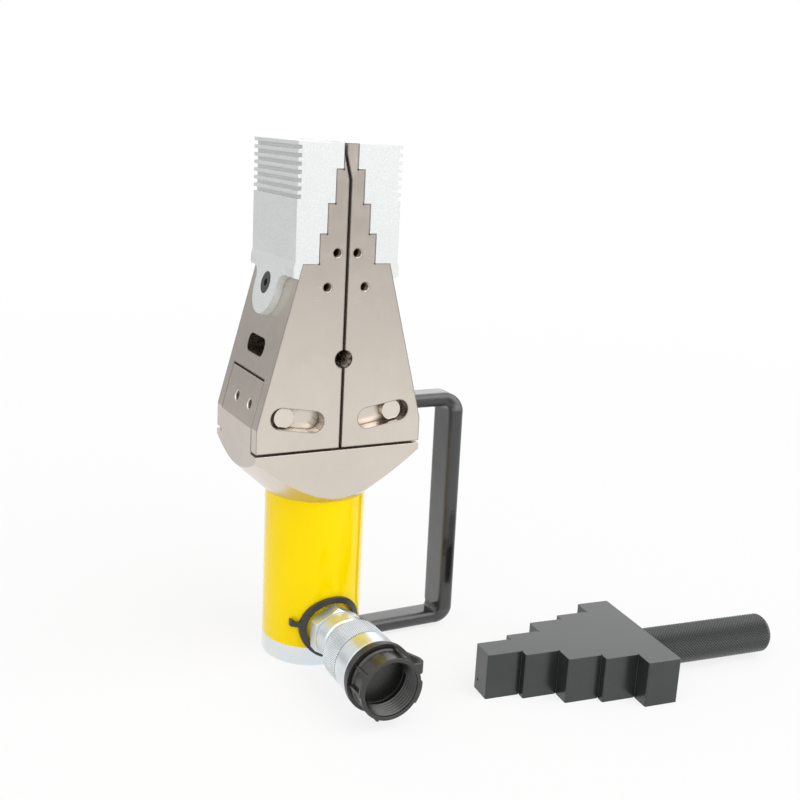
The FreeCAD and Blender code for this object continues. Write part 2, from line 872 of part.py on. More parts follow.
def handle_bar(path):
    """The bent bar, broader and thicker where the hand holds it than in its two arms."""
    arm = (handle_arm_width, handle_arm_thick)
    hold = (handle_width, handle_thick)
    sizes = (arm, arm, hold, hold, arm, arm)
    runs = []
    for run, first, last in zip(path.Edges, sizes, sizes[1:]):
        ends = ((run.FirstParameter, first), (run.LastParameter, last))
        sections = [handle_section(run.valueAt(at), run.tangentAt(at), *size) for at, size in ends]
        runs.append(Part.Wire([run]).makePipeShell(sections, True, False))
    return runs[0].fuse(runs[1:])


def handle_foot():
    """Plate on the right upright's taper."""
    half_y = foot_length_y / 2
    middle = pin_drop + foot_offset
    plate = box(-half_y, half_y, middle - foot_height / 2, middle + foot_height / 2, -foot_thick, 0)
    plate = plate.makeFillet(foot_radius, [e for e in plate.Edges if e.BoundBox.ZLength > foot_thick / 2])
    return on_taper(plate, 1)


def on_foot(shape, sign):
    """From screw axes (Z into the upright, origin on the foot's face) to the part."""
    moved = shape.copy()
    moved.translate(V(sign * upright_hole_spacing / 2, upright_hole_drop, -foot_thick))
    return on_taper(moved, 1)


def handle():
    """Bent bar handle with its foot and a saddle-cut lower end."""
    x = handle_outer_x - handle_thick / 2
    lean = handle_lean / 2
    low = handle_low_z
    top = pin_z - handle_top_drop
    start_x = taper_x(top) + handle_arm_thick * tan_taper
    points = [V(start_x, 0, top), V(x - lean, 0, top), V(x + lean, 0, low), V(tube_r - handle_arm_thick, 0, low)]
    body = handle_foot().fuse(handle_bar(rounded_path(points, handle_bend_r)))
    body = body.cut(cylinder(tube_r, -1, head_bottom))
    body = body.cut(rod_x(dowel_r, tube_r - 1, tube_r + dowel_length / 2, handle_low_z))
    for sign in (-1, 1):
        hole = countersunk(foot_screw_head_r + bolt_gap, upright_tapped_r + bolt_gap, 2 * foot_thick, foot_thick)
        body = body.cut(on_foot(hole, sign))
    return body.removeSplitter()


def handle_foot_screws():
    """Two flush socket screws that hold the handle's foot and reach the guide pin."""
    length = foot_thick + pin_depth - pin_r - slide_gap
    screw = countersunk(foot_screw_head_r, upright_tapped_r, length)
    screw = screw.cut(hexagon(foot_screw_socket, -1, socket_depth))
    return Part.Compound([on_foot(screw, sign) for sign in (-1, 1)])


def handle_dowel():
    """Pin that locates the handle's lower end in the base."""
    return rod_x(dowel_r, tube_r - dowel_length / 2, tube_r + dowel_length / 2, handle_low_z)


# Port, coupler and dust cap, drawn along Z outwards from the cylinder's axis


def port_nipple():
    """Hexagonal adapter screwed into the port."""
    corner_r = hex_across_flats / math.sqrt(3)
    trim_r = corner_r - 2 * hex_corner_trim
    envelope = turned([
        (0, hex_start), (trim_r, hex_start), (corner_r, hex_start + hex_corner_trim),
        (corner_r, hex_end - hex_corner_trim), (trim_r, hex_end), (0, hex_end),
    ])
    nut = hexagon(hex_across_flats, hex_start, hex_end, 90).common(envelope)
    body = nut.fuse(cylinder(port_thread_r, port_bottom, hex_start))
    return on_port(body.cut(cylinder(oil_hole_r, port_bottom - 1, hex_end + 1)).removeSplitter())


def coupler_body():
    """Coupler body behind and inside the collar, with the valve's seat."""
    waist_r = barrel_r - barrel_waist
    waist_z = barrel_end - barrel_waist_length
    profile = [
        (oil_hole_r, hex_end), (waist_r, hex_end), (barrel_r, hex_end + barrel_waist),
        (barrel_r, waist_z), (waist_r, waist_z + barrel_waist), (waist_r, barrel_end),
        (body_r, barrel_end), (body_r, body_end), (body_mouth_r, body_end), (body_mouth_r, body_end - seat_length),
        (body_bore_r, body_seat), (body_bore_r, barrel_end), (oil_hole_r, barrel_end),
    ]
    return on_port(turned(profile))


def coupler_collar():
    """Threaded collar that spins on the coupler body."""
    inner_r = body_r + plunger_guide_gap
    knurl_end = collar_start + collar_knurl_length
    step = collar_r - collar_band_r
    profile = [
        (inner_r, collar_start), (collar_r - collar_edge, collar_start), (collar_r, collar_start + collar_edge),
        (collar_r, knurl_end), (collar_band_r, knurl_end + step), (collar_band_r, collar_end - 2 * step),
        (collar_band_r - 2 * step, collar_end), (collar_mouth_r, collar_end), (collar_mouth_r, collar_mouth),
        (inner_r, collar_mouth),
    ]
    return on_port(turned(profile))


def coupler_poppet():
    """Valve poppet that a hose's coupler pushes in."""
    seat = body_seat - slide_gap
    head_r = body_bore_r - slide_gap
    tail = seat - poppet_length
    nose_r = body_mouth_r - slide_gap
    tip = body_end + poppet_stem_proud
    profile = [(0, tail), (head_r, tail), (head_r, seat), (nose_r, seat + seat_length),
               (poppet_stem_r, seat + seat_length), (poppet_stem_r, tip), (0, tip)]
    return on_port(turned(profile))


def poppet_spring():
    """Light spring behind the poppet, drawn as a sleeve of its outer size."""
    outer = body_bore_r - 2 * slide_gap
    low = barrel_end + poppet_travel + slide_gap
    return on_port(ring(outer - poppet_spring_wall, outer, low, body_seat - slide_gap - poppet_length))


def cap_ribs():
    """Grip ribs round the dust cap, a group of three and its repeat half a turn on."""
    root = cap_wall_r - 1
    rib = box(root, cap_rib_r, -cap_rib_width / 2, cap_rib_width / 2, cap_groove_end, cap_end)
    ribs = []
    for half_turn in (0, 180):
        for angle in cap_rib_angles:
            one = rib.copy()
            one.rotate(V(0, 0, 0), V(0, 0, 1), angle + half_turn)
            ribs.append(one)
    return ribs


def cap_pads():
    """Raised rim between the two close ribs of each group."""
    first, last = cap_rib_angles[1:]
    start = V(0, 0, cap_end - cap_rim_width)
    pads = []
    for half_turn in (0, 180):
        pad = Part.makeCylinder(cap_rib_r, cap_rim_width, start, V(0, 0, 1), last - first)
        pad = pad.cut(cylinder(cap_wall_r - 1, 0, far))
        pad.rotate(V(0, 0, 0), V(0, 0, 1), first + half_turn)
        pads.append(pad)
    return pads


def dust_cap():
    """Plastic dust cap: plugged stub, flange, strap groove and an open socket with ribs."""
    stub_start = cap_start - cap_stub_length
    stub_bore_r = cap_stub_r - cap_stub_wall
    shoulder_end = cap_groove_end + cap_shoulder_width
    step = cap_rim_r - cap_wall_r
    profile = [
        (0, cap_start), (stub_bore_r, cap_start), (stub_bore_r, stub_start), (cap_stub_r, stub_start),
        (cap_stub_r, cap_start), (cap_flange_r, cap_start), (cap_flange_r, cap_flange_end),
        (cap_groove_r, cap_flange_end), (cap_groove_r, cap_groove_end), (cap_rim_r, cap_groove_end),
        (cap_rim_r, shoulder_end), (cap_wall_r, shoulder_end + step), (cap_wall_r, cap_end - cap_rim_width),
        (cap_rim_r, cap_end - cap_rim_width + step), (cap_rim_r, cap_end), (cap_socket_r, cap_end),
        (cap_socket_r - cap_socket_draft, cap_start + cap_floor), (0, cap_start + cap_floor),
    ]
    return on_port(turned(profile).fuse(cap_ribs() + cap_pads()).removeSplitter())


# Tether strap


def strap_tab():
    """Short tab on the ring's left with a wider end, before it's bent round the tube."""
    z = port_z + strap_tab_rise
    ring_x = strap_shift_x - strap_outer_r
    end_x = ring_x - strap_tab_length
    reach = -tube_r - strap_outer_r
    stem = box(end_x, ring_x + strap_thick, reach, 0, z - strap_tab_width / 2, z + strap_tab_width / 2)
    low = z - strap_tab_width / 2
    return stem.fuse(box(end_x, end_x + strap_tab_end_length, reach, 0, low, low + strap_tab_end_width))


def strap_collar():
    """Flat ring of the strap, bent round the tube's front, with its tab."""
    inner = tube_r + strap_stand
    shell = ring(inner, inner + strap_thick, 0, head_bottom)
    washer = on_port(ring(strap_inner_r, strap_outer_r, strap_thick, tube_r + strap_outer_r))
    washer.translate(V(strap_shift_x, 0, strap_shift_z))
    return shell.common(washer.fuse(strap_tab()))


def strap_eye():
    """Flat eye of the strap that the dust cap turns in."""
    inner = cap_groove_r + slide_gap
    outer = cap_groove_r + strap_eye_wall
    return on_port(ring(inner, outer, cap_flange_end + strap_eye_gap, cap_groove_end - strap_eye_gap))


def tether_strap():
    """Moulded strap from the port to the dust cap."""
    eye_y = -(cap_flange_end + cap_groove_end) / 2
    start_x = strap_outer_r + strap_shift_x - strap_thick
    start_y = -math.sqrt((tube_r + strap_stand + strap_thick / 2) ** 2 - start_x ** 2)
    points = [
        V(start_x, start_y, port_z), V(strap_run_x, -strap_run_start, port_z),
        V(strap_run_x, -strap_run_end, port_z), V(strap_bulge_x, -strap_bulge_start, port_z),
        V(strap_bulge_x, eye_y, port_z), V(cap_groove_r + strap_thick, eye_y, port_z),
    ]
    path = rounded_path(points, strap_bend_r)
    run = (points[1] - points[0]).normalize()
    side = V(run.y, -run.x, 0) * (strap_thick / 2)
    up = V(0, 0, strap_width / 2)
    corners = [points[0] + side + up, points[0] - side + up, points[0] - side - up, points[0] + side - up]
    band = path.makePipeShell([Part.makePolygon(corners + corners[:1])], True, False)
    return strap_collar().fuse([band, strap_eye()]).removeSplitter()


# Safety block


def on_floor(shape):
    """From the block's axes (X from nose to grip) to its place on the floor."""
    a = math.radians(block_turn)
    return placed(shape, V(math.cos(a), math.sin(a), 0), V(-math.sin(a), math.cos(a), 0), V(0, 0, 1),
                  V(block_x, block_y, 0))


rises = (small_rise, large_rise, small_rise, large_rise)
safety_length = safety_step * (len(rises) + 1)
grip_centre = V(safety_length, 0, safety_thick / 2)


def soft_prism(outline, inner):
    """The block's prism with rounded outer corners and a relief groove in each inner corner."""
    body = prism_z(outline, 0, safety_thick)
    upright_edges = [e for e in body.Edges if e.BoundBox.ZLength > safety_thick / 2]
    outer = [e for e in upright_edges if all(e.distToShape(Part.Vertex(p))[0] > safety_relief_r for p in inner)]
    body = body.makeFillet(safety_edge_r, outer)
    for p in inner:
        body = body.cut(cylinder(safety_relief_r, -1, safety_thick + 1, p.x, p.y))
    return body


def safety_block():
    """Stepped block that goes between the flanges as a stand."""
    half = nose_width / 2
    edge = [(0, half)]
    inner = []
    for index, rise in enumerate(rises):
        x = safety_step * (index + 1)
        inner.append((x, half))
        edge += [(x, half), (x, half + rise)]
        half += rise
    edge.append((safety_length, half))
    outline = edge + [(x, -y) for x, y in reversed(edge)]
    body = soft_prism(outline, [V(x, side * y, 0) for x, y in inner for side in (-1, 1)])
    stud_hole = Part.makeCylinder(grip_stud_r, grip_stud_length, grip_centre, V(-1, 0, 0))
    nose_hole = Part.makeCylinder(nose_hole_r, nose_hole_depth, V(0, nose_hole_y, nose_hole_z), V(1, 0, 0))
    return on_floor(body.cut(stud_hole).cut(nose_hole))


def safety_block_grip():
    """Knurled round grip screwed into the block's wide end."""
    grip = Part.makeCylinder(grip_r, grip_length, grip_centre, V(1, 0, 0))
    end = [e for e in grip.Edges if e.BoundBox.XMin > safety_length + grip_length / 2]
    grip = grip.makeChamfer(grip_chamfer, end)
    stud = Part.makeCylinder(grip_stud_r, grip_stud_length, grip_centre, V(-1, 0, 0))
    return on_floor(grip.fuse(stud).removeSplitter())


def build():
    """Every node of the part by name."""
    return {
        "base_plug": base_plug(),
        "base_o_ring": base_o_ring(),
        "cylinder_tube": cylinder_tube(),
        "stop_ring": stop_ring(),
        "rod_wiper": rod_wiper(),
        "lower_spring_anchor": lower_spring_anchor(),
        "return_spring": return_spring(),
        "piston": piston(),
        "piston_seal": piston_seal(),
        "wear_ring": wear_ring(),
        "plunger": plunger(),
        "upper_spring_anchor": upper_spring_anchor(),
        "wedge_stud": wedge_stud(),
        "wedge": wedge(),
        "head_housing": head_housing(),
        "guide_pin_left": guide_pin(-1),
        "guide_pin_right": guide_pin(1),
        "pin_grub_screws": pin_grub_screws(),
        "left_jaw": jaw(-1, False),
        "right_jaw": jaw(1, True),
        "left_step_block": step_block(-1),
        "right_step_block": step_block(1),
        "left_block_screw": block_screw(-1),
        "right_block_screw": block_screw(1),
        "handle": handle(),
        "handle_foot_screws": handle_foot_screws(),
        "handle_dowel": handle_dowel(),
        "port_nipple": port_nipple(),
        "coupler_body": coupler_body(),
        "coupler_collar": coupler_collar(),
        "coupler_poppet": coupler_poppet(),
        "poppet_spring": poppet_spring(),
        "dust_cap": dust_cap(),
        "tether_strap": tether_strap(),
        "safety_block": safety_block(),
        "safety_block_grip": safety_block_grip(),
    }


os.makedirs("parts", exist_ok=True)
for node, shape in build().items():
    shape.exportStep("parts/" + node + ".step")
    print(node, "solids", len(shape.Solids), "valid", shape.isValid(), "volume", round(shape.Volume, 1))
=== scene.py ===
import json
import math

import bmesh
import bpy
from bpy.props import FloatProperty, FloatVectorProperty, IntProperty, PointerProperty
from mathutils import Matrix, Vector


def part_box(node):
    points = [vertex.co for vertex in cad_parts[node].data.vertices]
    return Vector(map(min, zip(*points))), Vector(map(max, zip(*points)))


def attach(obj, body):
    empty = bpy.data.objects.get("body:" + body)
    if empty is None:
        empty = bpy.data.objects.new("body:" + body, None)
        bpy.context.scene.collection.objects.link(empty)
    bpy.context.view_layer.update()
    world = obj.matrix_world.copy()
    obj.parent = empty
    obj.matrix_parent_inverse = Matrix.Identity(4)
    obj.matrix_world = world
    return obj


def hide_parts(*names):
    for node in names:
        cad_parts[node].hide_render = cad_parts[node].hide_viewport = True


# Finish of the hydraulic flange spreader: materials, knurls, threads, dust cap, studio and camera.
# Lengths are in metres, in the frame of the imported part: +Z up, the split faces -Y, the handle is on +X.

bl_info = {
    "name": "Flange spreader finish",
    "version": (1, 0, 0),
    "blender": (4, 5, 0),
    "location": "3D View > Sidebar > Spreader",
    "description": "Dresses the packed flange spreader with its finishes, knurls, threads and dust cap",
    "category": "Object",
}

FULL_TURN = 2 * math.pi
MM = 0.001

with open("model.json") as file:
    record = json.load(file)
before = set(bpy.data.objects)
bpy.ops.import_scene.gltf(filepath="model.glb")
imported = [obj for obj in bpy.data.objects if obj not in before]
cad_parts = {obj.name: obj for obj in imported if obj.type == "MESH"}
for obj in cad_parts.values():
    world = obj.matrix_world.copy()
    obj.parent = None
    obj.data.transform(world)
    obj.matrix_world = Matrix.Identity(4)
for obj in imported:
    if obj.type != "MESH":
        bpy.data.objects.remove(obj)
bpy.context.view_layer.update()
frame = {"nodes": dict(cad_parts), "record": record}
collar_low, collar_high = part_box("coupler_collar")
cap_low, cap_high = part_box("dust_cap")

# Height of the port's axis
PORT_Z = (collar_low.z + collar_high.z) / 2

# Directions from the object to the darker and the brighter side of the studio
DARK_SIDE = Vector((-0.45, 0.89, 0.0))
SOFT_BOX = Vector((0.40, 0.82, 0.41))

# Azimuth from -Y towards +X, elevation and width of the two lamps, in degrees
KEY_LAMP = (35, 42, 70)
FILL_LAMP = (-75, 35, 90)

# Angles of the dust cap's ribs on each half, in degrees. A raised rim joins the last two.
RIB_ANGLES = (66, 146, 181)


# Shader arithmetic


class Signal:
    """A node's output. Arithmetic on it adds Math nodes to its tree."""

    def __init__(self, tree, socket):
        self.tree = tree
        self.socket = socket

    def maths(self, operation, *values):
        return self.tree.node("ShaderNodeMath", {"operation": operation}, dict(enumerate(values)))

    def __add__(self, other):
        return self.maths("ADD", self, other)

    def __radd__(self, other):
        return self.maths("ADD", other, self)

    def __sub__(self, other):
        return self.maths("SUBTRACT", self, other)

    def __rsub__(self, other):
        return self.maths("SUBTRACT", other, self)

    def __mul__(self, other):
        return self.maths("MULTIPLY", self, other)

    def __rmul__(self, other):
        return self.maths("MULTIPLY", other, self)

    def __abs__(self):
        return self.maths("ABSOLUTE", self)

    def larger(self, other):
        return self.maths("MAXIMUM", self, other)


class Tree:
    """A node tree with one method that adds any node."""

    def __init__(self, node_tree):
        self.node_tree = node_tree

    def node(self, kind, settings=None, inputs=None, output=0):
        """Adds a node: its settings first, then the values or links of its sockets."""
        node = self.node_tree.nodes.new(kind)
        for name, value in (settings or {}).items():
            setattr(node, name, value)
        for key, value in (inputs or {}).items():
            self.feed(pick(node.inputs, key), value)
        return Signal(self, pick(node.outputs, output))

    def feed(self, socket, value):
        """Links a signal to a socket, or sets the socket's own value."""
        if isinstance(value, Signal):
            self.node_tree.links.new(value.socket, socket)
        elif socket.type == "RGBA":
            socket.default_value = (*value, 1.0)
        else:
            socket.default_value = value

    def vector(self, operation, *values, output=0):
        """Maths on vectors."""
        return self.node("ShaderNodeVectorMath", {"operation": operation}, dict(enumerate(values)), output)

    def between(self, value, low, high, out_low=0.0, out_high=1.0):
        """The value's place between low and high, eased, as a number from out_low to out_high."""
        inputs = {"Value": value, "From Min": low, "From Max": high, "To Min": out_low, "To Max": out_high}
        return self.node("ShaderNodeMapRange", {"interpolation_type": "SMOOTHSTEP"}, inputs, "Result")

    def ray(self, kind):
        """1 for rays of a kind: Camera, Glossy or Transmission."""
        return self.node("ShaderNodeLightPath", output="Is " + kind + " Ray")


def pick(sockets, key):
    """A socket by its number, or by its name among those in use."""
    if isinstance(key, int):
        return sockets[key]
    return next(s for s in sockets if s.name == key and s.enabled)


class Finish(Tree):
    """A material in the making, with the patterns that the finishes share."""

    def __init__(self, name):
        self.material = bpy.data.materials.new(name)
        self.material.use_nodes = True
        super().__init__(self.material.node_tree)
        self.shader = self.node_tree.nodes["Principled BSDF"]
        self.place = self.node("ShaderNodeTexCoord", output="Object")

    def stretched(self, factors):
        """Object coordinates multiplied by a factor along each axis."""
        return self.vector("MULTIPLY", self.place, factors)

    def noise(self, size, detail=3.0, stretch=(1, 1, 1)):
        """Fractal noise from 0 to 1 with features of about the given size."""
        inputs = {"Vector": self.stretched(stretch), "Scale": 1 / size, "Detail": detail}
        return self.node("ShaderNodeTexNoise", {}, inputs, "Fac")

    def cells(self, size, stretch=(1, 1, 1)):
        """Distance to the nearest of scattered points, 0 at each point."""
        inputs = {"Vector": self.stretched(stretch), "Scale": 1 / size}
        return self.node("ShaderNodeTexVoronoi", {}, inputs, "Distance")

    def mix(self, factor, first, second):
        """A colour between two colours."""
        inputs = {"Factor": factor, "A": first, "B": second}
        return self.node("ShaderNodeMix", {"data_type": "RGBA"}, inputs, "Result")

    def rounded(self, radius):
        """Normals that turn round the edges with the given radius."""
        return self.node("ShaderNodeBevel", {"samples": 4}, {"Radius": radius}, "Normal")

    def edge_mask(self, soft_normal, reach=0.12):
        """1 on the edges and 0 on the faces, from how far the rounded normal leaves the real one."""
        real = self.node("ShaderNodeNewGeometry", output="Normal")
        along = self.vector("DOT_PRODUCT", soft_normal, real, output="Value")
        return self.between(1 - along, 0.004, reach)

    def crevice(self, reach):
        """1 deep in gaps, holes and corners narrower than the reach, and 0 in the open."""
        openness = self.node("ShaderNodeAmbientOcclusion", {"samples": 8}, {"Distance": reach}, "AO")
        return self.between(openness, 0.15, 0.72, 1.0, 0.0)

    def off_axis(self, point, direction):
        """Distance from an axis through a point."""
        across = self.vector("CROSS_PRODUCT", self.vector("SUBTRACT", self.place, point), direction)
        return self.vector("LENGTH", across, output="Value")

    def bump(self, height, distance, normal=None, strength=1.0):
        """A normal from a height between 0 and 1, at the given real depth."""
        inputs = {"Height": height, "Distance": distance, "Strength": strength}
        if normal:
            inputs["Normal"] = normal
        return self.node("ShaderNodeBump", {}, inputs, "Normal")

    def wear(self, colour, roughness, normal, **others):
        """Feeds the shader's colour, roughness and normal, then any other sockets by their names."""
        self.feed(self.shader.inputs["Base Color"], colour)
        self.feed(self.shader.inputs["Roughness"], roughness)
        self.feed(self.shader.inputs["Normal"], normal)
        for name, value in others.items():
            self.feed(self.shader.inputs[name.replace("_", " ").title().replace("Ior", "IOR")], value)
        return self.material


def shade(colour, factor):
    """A colour made lighter or darker by a factor."""
    return tuple(min(1.0, part * factor) for part in colour)


# Settings


def length_of(name, description, default, low=0.0):
    """A length in metres."""
    return FloatProperty(name=name, description=description, default=default, min=low, unit="LENGTH",
                         subtype="DISTANCE", precision=5)


def colour_of(name, description, default):
    """A colour, as linear values."""
    return FloatVectorProperty(name=name, description=description, subtype="COLOR", size=3, default=default)


def place_of(name, description, default):
    """A place or the distances that give it, in metres."""
    return FloatVectorProperty(name=name, description=description, subtype="TRANSLATION", unit="LENGTH",
                               size=len(default), default=default)


def angle_of(name, description, degrees):
    """An angle, given in degrees."""
    return FloatProperty(name=name, description=description, subtype="ANGLE", default=math.radians(degrees))


def share_of(name, description, default):
    """A share from 0 to 1."""
    return FloatProperty(name=name, description=description, default=default, min=0.0, max=1.0,
                         subtype="FACTOR")


def strength_of(name, description, default):
    """The strength of a light."""
    return FloatProperty(name=name, description=description, default=default, min=0.0)


class FinishSettings(bpy.types.PropertyGroup):
    """Colours of the finishes, and the radii that light finds on the edges."""

    enamel: colour_of("Enamel", "Yellow enamel on the cylinder", (1.0, 0.725, 0.0))
    nickel: colour_of("Nickel", "Satin nickel plate on the head, jaws and pins", (0.66, 0.598, 0.532))
    # Painted shade: the dark brown that is mixed into the nickel's gaps, holes and corners
    crevice_shade: colour_of("Crevice_shade", "Dark oil in the gaps and holes", (0.12, 0.080, 0.043))
    zinc: colour_of("Zinc", "Bright zinc plate on the base ring and coupler", (0.71, 0.75, 0.77))
    blasted: colour_of("Blasted zinc", "Blasted zinc on the stepped blocks", (0.734, 0.757, 0.750))
    chrome: colour_of("Chrome", "Ground hard chrome on the plunger", (0.63, 0.64, 0.65))
    coating: colour_of("Coating", "Glossy black coating on the handle", (0.012, 0.012, 0.013))
    oxide: colour_of("Black oxide", "Satin black oxide on the safety block", (0.017, 0.020, 0.020))
    screw: colour_of("Screws", "Oiled black oxide on the screws", (0.060, 0.062, 0.062))
    plastic: colour_of("Plastic", "Black plastic of the dust cap and its strap", (0.014, 0.013, 0.012))
    bronze: colour_of("Bronze", "Bronze of the guide rings", (0.60, 0.38, 0.17))
    spring: colour_of("Spring steel", "Drawn wire of the springs", (0.34, 0.34, 0.35))
    edge_radius: length_of("Edge radius", "Radius of the steel's edges", 0.35 * MM)
    coat_radius: length_of("Coating radius", "Radius of the edges of the handle's coating", 3.5 * MM)
    fine_radius: length_of("Fine radius", "Radius of the edges of threads and the dust cap", 0.06 * MM)


class KnurlSettings(bpy.types.PropertyGroup):
    """Sizes of the diamond knurls on the coupler's collar and the safety block's grip."""

    depth: length_of("Depth", "Height of a diamond's point over the grooves", 0.5 * MM)
    collar_pitch: length_of("Collar pitch", "Width of a diamond on the collar", 1.5 * MM, low=0.5 * MM)
    grip_pitch: length_of("Grip pitch", "Width of a diamond on the grip", 1.9 * MM, low=0.5 * MM)
    smooth_steps: IntProperty(
        name="Smooth steps", description="Facets round a smooth turned face", default=96, min=24)


class BlockSettings(bpy.types.PropertyGroup):
    """Place of the safety block and sizes of its grip."""

    place: place_of(
        "Place", "Middle of the block's narrow end at half its height", (64.2 * MM, -89.0 * MM, 13.1 * MM))
    turn: angle_of("Turn", "Turn of the block on the floor", -6.5)
    length: length_of("Block length", "Length of the block without its grip", 102.5 * MM)
    grip_length: length_of("Grip length", "Length of the grip outside the block", 86.0 * MM)
    grip_radius: length_of("Grip radius", "Radius over the knurl", 11.6 * MM)
    stud_radius: length_of("Stud radius", "Radius of the stud inside the block", 5.95 * MM)
    stud_length: length_of("Stud length", "Length of the stud inside the block", 17.9 * MM)


class CapSettings(bpy.types.PropertyGroup):
    """Sizes of the dust cap, along its axis from the face of its flange."""

    length: length_of("Length", "From the flange's face to the rim", 19.1 * MM)
    flange_radius: length_of("Flange radius", "Radius of the flange", 18.2 * MM)
    flange_width: length_of("Flange width", "Width of the flange", 2.4 * MM)
    groove_radius: length_of("Groove radius", "Radius of the groove for the strap", 15.8 * MM)
    groove_width: length_of("Groove width", "Width of the groove for the strap", 4.0 * MM)
    wall_radius: length_of("Wall radius", "Radius of the wall between the ribs", 16.4 * MM)
    rim_radius: length_of("Rim radius", "Radius of the rim and the shoulder", 17.2 * MM)
    rim_width: length_of("Rim width", "Width of the rim at the mouth", 1.6 * MM)
    rib_radius: length_of("Rib radius", "Radius over the ribs", 18.1 * MM)
    rib_width: length_of("Rib width", "Width of a rib", 1.8 * MM)
    socket_radius: length_of("Socket radius", "Radius of the open socket", 15.0 * MM)
    floor: length_of("Socket floor", "Distance of the socket's floor", 3.6 * MM)
    stub_radius: length_of("Stub radius", "Radius of the plug inside the collar", 14.1 * MM)
    stub_bore: length_of("Stub bore", "Radius of the plug's bore", 9.6 * MM)
    stub_length: length_of("Stub length", "Length of the plug", 6.0 * MM)
    thread_height: length_of("Thread height", "Height of the inner thread", 0.8 * MM)
    thread_pitch: length_of("Thread pitch", "Pitch of the inner thread", 2.0 * MM)


class HoleSettings(bpy.types.PropertyGroup):
    """Places and sizes of the jaws' tapped holes, the same on both faces and both jaws."""

    face: length_of("Face", "Distance of the front and rear faces from the middle", 31.6 * MM)
    upper: place_of("Upper hole", "Distance from the split and height", (5.7 * MM, 236.5 * MM))
    lower: place_of("Lower hole", "Distance from the split and height", (10.7 * MM, 218.6 * MM))
    radius: length_of("Radius", "Radius of the small holes", 2.1 * MM)
    ridge: length_of("Ridge", "Height of the small threads", 0.3 * MM)
    pitch: length_of("Pitch", "Pitch of the small threads", 0.8 * MM)
    depth: length_of("Depth", "Depth of the small threads", 9.5 * MM)
    split_height: length_of("Split hole height", "Height of the hole on the split", 180.1 * MM)
    split_radius: length_of("Split hole radius", "Radius of the hole on the split", 5.0 * MM)
    split_ridge: length_of("Split hole ridge", "Height of its thread", 0.55 * MM)
    split_pitch: length_of("Split hole pitch", "Pitch of its thread", 1.5 * MM)
    split_depth: length_of("Split hole depth", "Depth of its thread", 15.5 * MM)


class StudioSettings(bpy.types.PropertyGroup):
    """Camera, floor and light."""

    lens: FloatProperty(name="Lens", description="Focal length", default=49.264, min=1.0, unit="CAMERA")
    azimuth: angle_of("Azimuth", "How far the view turns from +Y towards +X", 28.184)
    elevation: angle_of("Elevation", "How far the view looks down", 14.028)
    roll: angle_of("Roll", "Tilt of the camera", 3.086)
    viewpoint: place_of("Viewpoint", "Place of the camera", (-0.241861, -0.548875, 0.301899))
    floor_size: length_of("Floor", "Side of the square floor", 12.0, low=1.0)
    shadow_end: length_of("Shadow end", "Distance at which the floor starts to turn white", 0.5)
    white_start: length_of("White start", "Distance from which the floor is white", 1.6)
    mirror_near: length_of("Near mirror", "Distance at which the mirrored floor starts to darken", 0.45)
    mirror_far: length_of("Far mirror", "Distance from which it is as dark as the horizon", 2.2)
    floor_white: share_of("Floor white", "Share of plain white on the floor near the object", 0.80)
    horizon: share_of("Horizon", "Level of the far floor and the horizon in reflections", 0.58)
    dark_side: share_of("Dark side", "Level of the reflections on the left behind the object", 0.83)
    soft_box: strength_of("Soft box", "Level of the reflections high behind the object", 1.6)
    key_strength: strength_of("Key lamp", "Strength of the lamp at the front", 1.9)
    fill_strength: strength_of("Fill lamp", "Strength of the lamp on the left", 0.95)
    sky_strength: strength_of("Sky", "Strength of the light from all round", 0.5)


# Materials


def yellow_enamel(look):
    """Thick glossy enamel with a fine orange peel and a few soft smears."""
    finish = Finish("yellow_enamel")
    cloud = finish.noise(30 * MM, 3)
    smears = finish.noise(9 * MM, 4, (1, 1, 0.35))
    peel = finish.noise(1.3 * MM, 2)
    colour = finish.mix(finish.between(cloud, 0.3, 0.7), shade(look.enamel, 0.965), look.enamel)
    roughness = finish.between(smears, 0.45, 0.75, 0.10, 0.20)
    normal = finish.bump(peel, 0.012 * MM, finish.rounded(look.edge_radius))
    return finish.wear(
        colour, roughness, normal, specular_tint=(1.0, 0.80, 0.10), coat_weight=0.06, coat_roughness=0.05)


def satin_nickel(look, name, tone=1.0, edge_tone=1.15, edge_width=0.35 * MM):
    """Nickel plate over ground steel, with grinding lines, smudges, scratches and painted shade in the
    gaps, holes and corners.
    """
    finish = Finish(name)
    plate = shade(look.nickel, tone)
    cloud = finish.noise(45 * MM, 4)
    smudge = finish.noise(7 * MM, 4)
    grinding = finish.noise(0.9 * MM, 2, (0.04, 0.04, 4.0))
    patches = finish.between(finish.noise(16 * MM, 1), 0.52, 0.62)
    scratches = finish.between(finish.noise(1.6 * MM, 1, (0.16, 0.16, 2.6)), 0.70, 0.74) * patches
    soft = finish.rounded(look.edge_radius)
    edges = finish.edge_mask(finish.rounded(edge_width), 0.08)
    colour = finish.mix(finish.between(cloud, 0.3, 0.7), shade(plate, 0.96), shade(plate, 1.02))
    colour = finish.mix(scratches * 0.35, colour, shade(plate, 1.18))
    # A light edge_tone gives worn edges; the jaws' dark one is painted shade on all their edges, to darken
    # the split and the slots
    colour = finish.mix(edges * 0.85, colour, shade(plate, edge_tone))
    # Painted shade: ambient occlusion darkens gaps, holes and corners towards a dark brown and makes them
    # less metallic
    painted_shade = finish.crevice(6 * MM) * 0.8
    colour = finish.mix(painted_shade, colour, look.crevice_shade)
    roughness = 0.18 + 0.06 * finish.between(smudge, 0.35, 0.7) + 0.04 * grinding + 0.08 * scratches
    normal = finish.bump(grinding, 0.0007 * MM, soft)
    return finish.wear(colour, roughness, normal, metallic=1 - painted_shade)


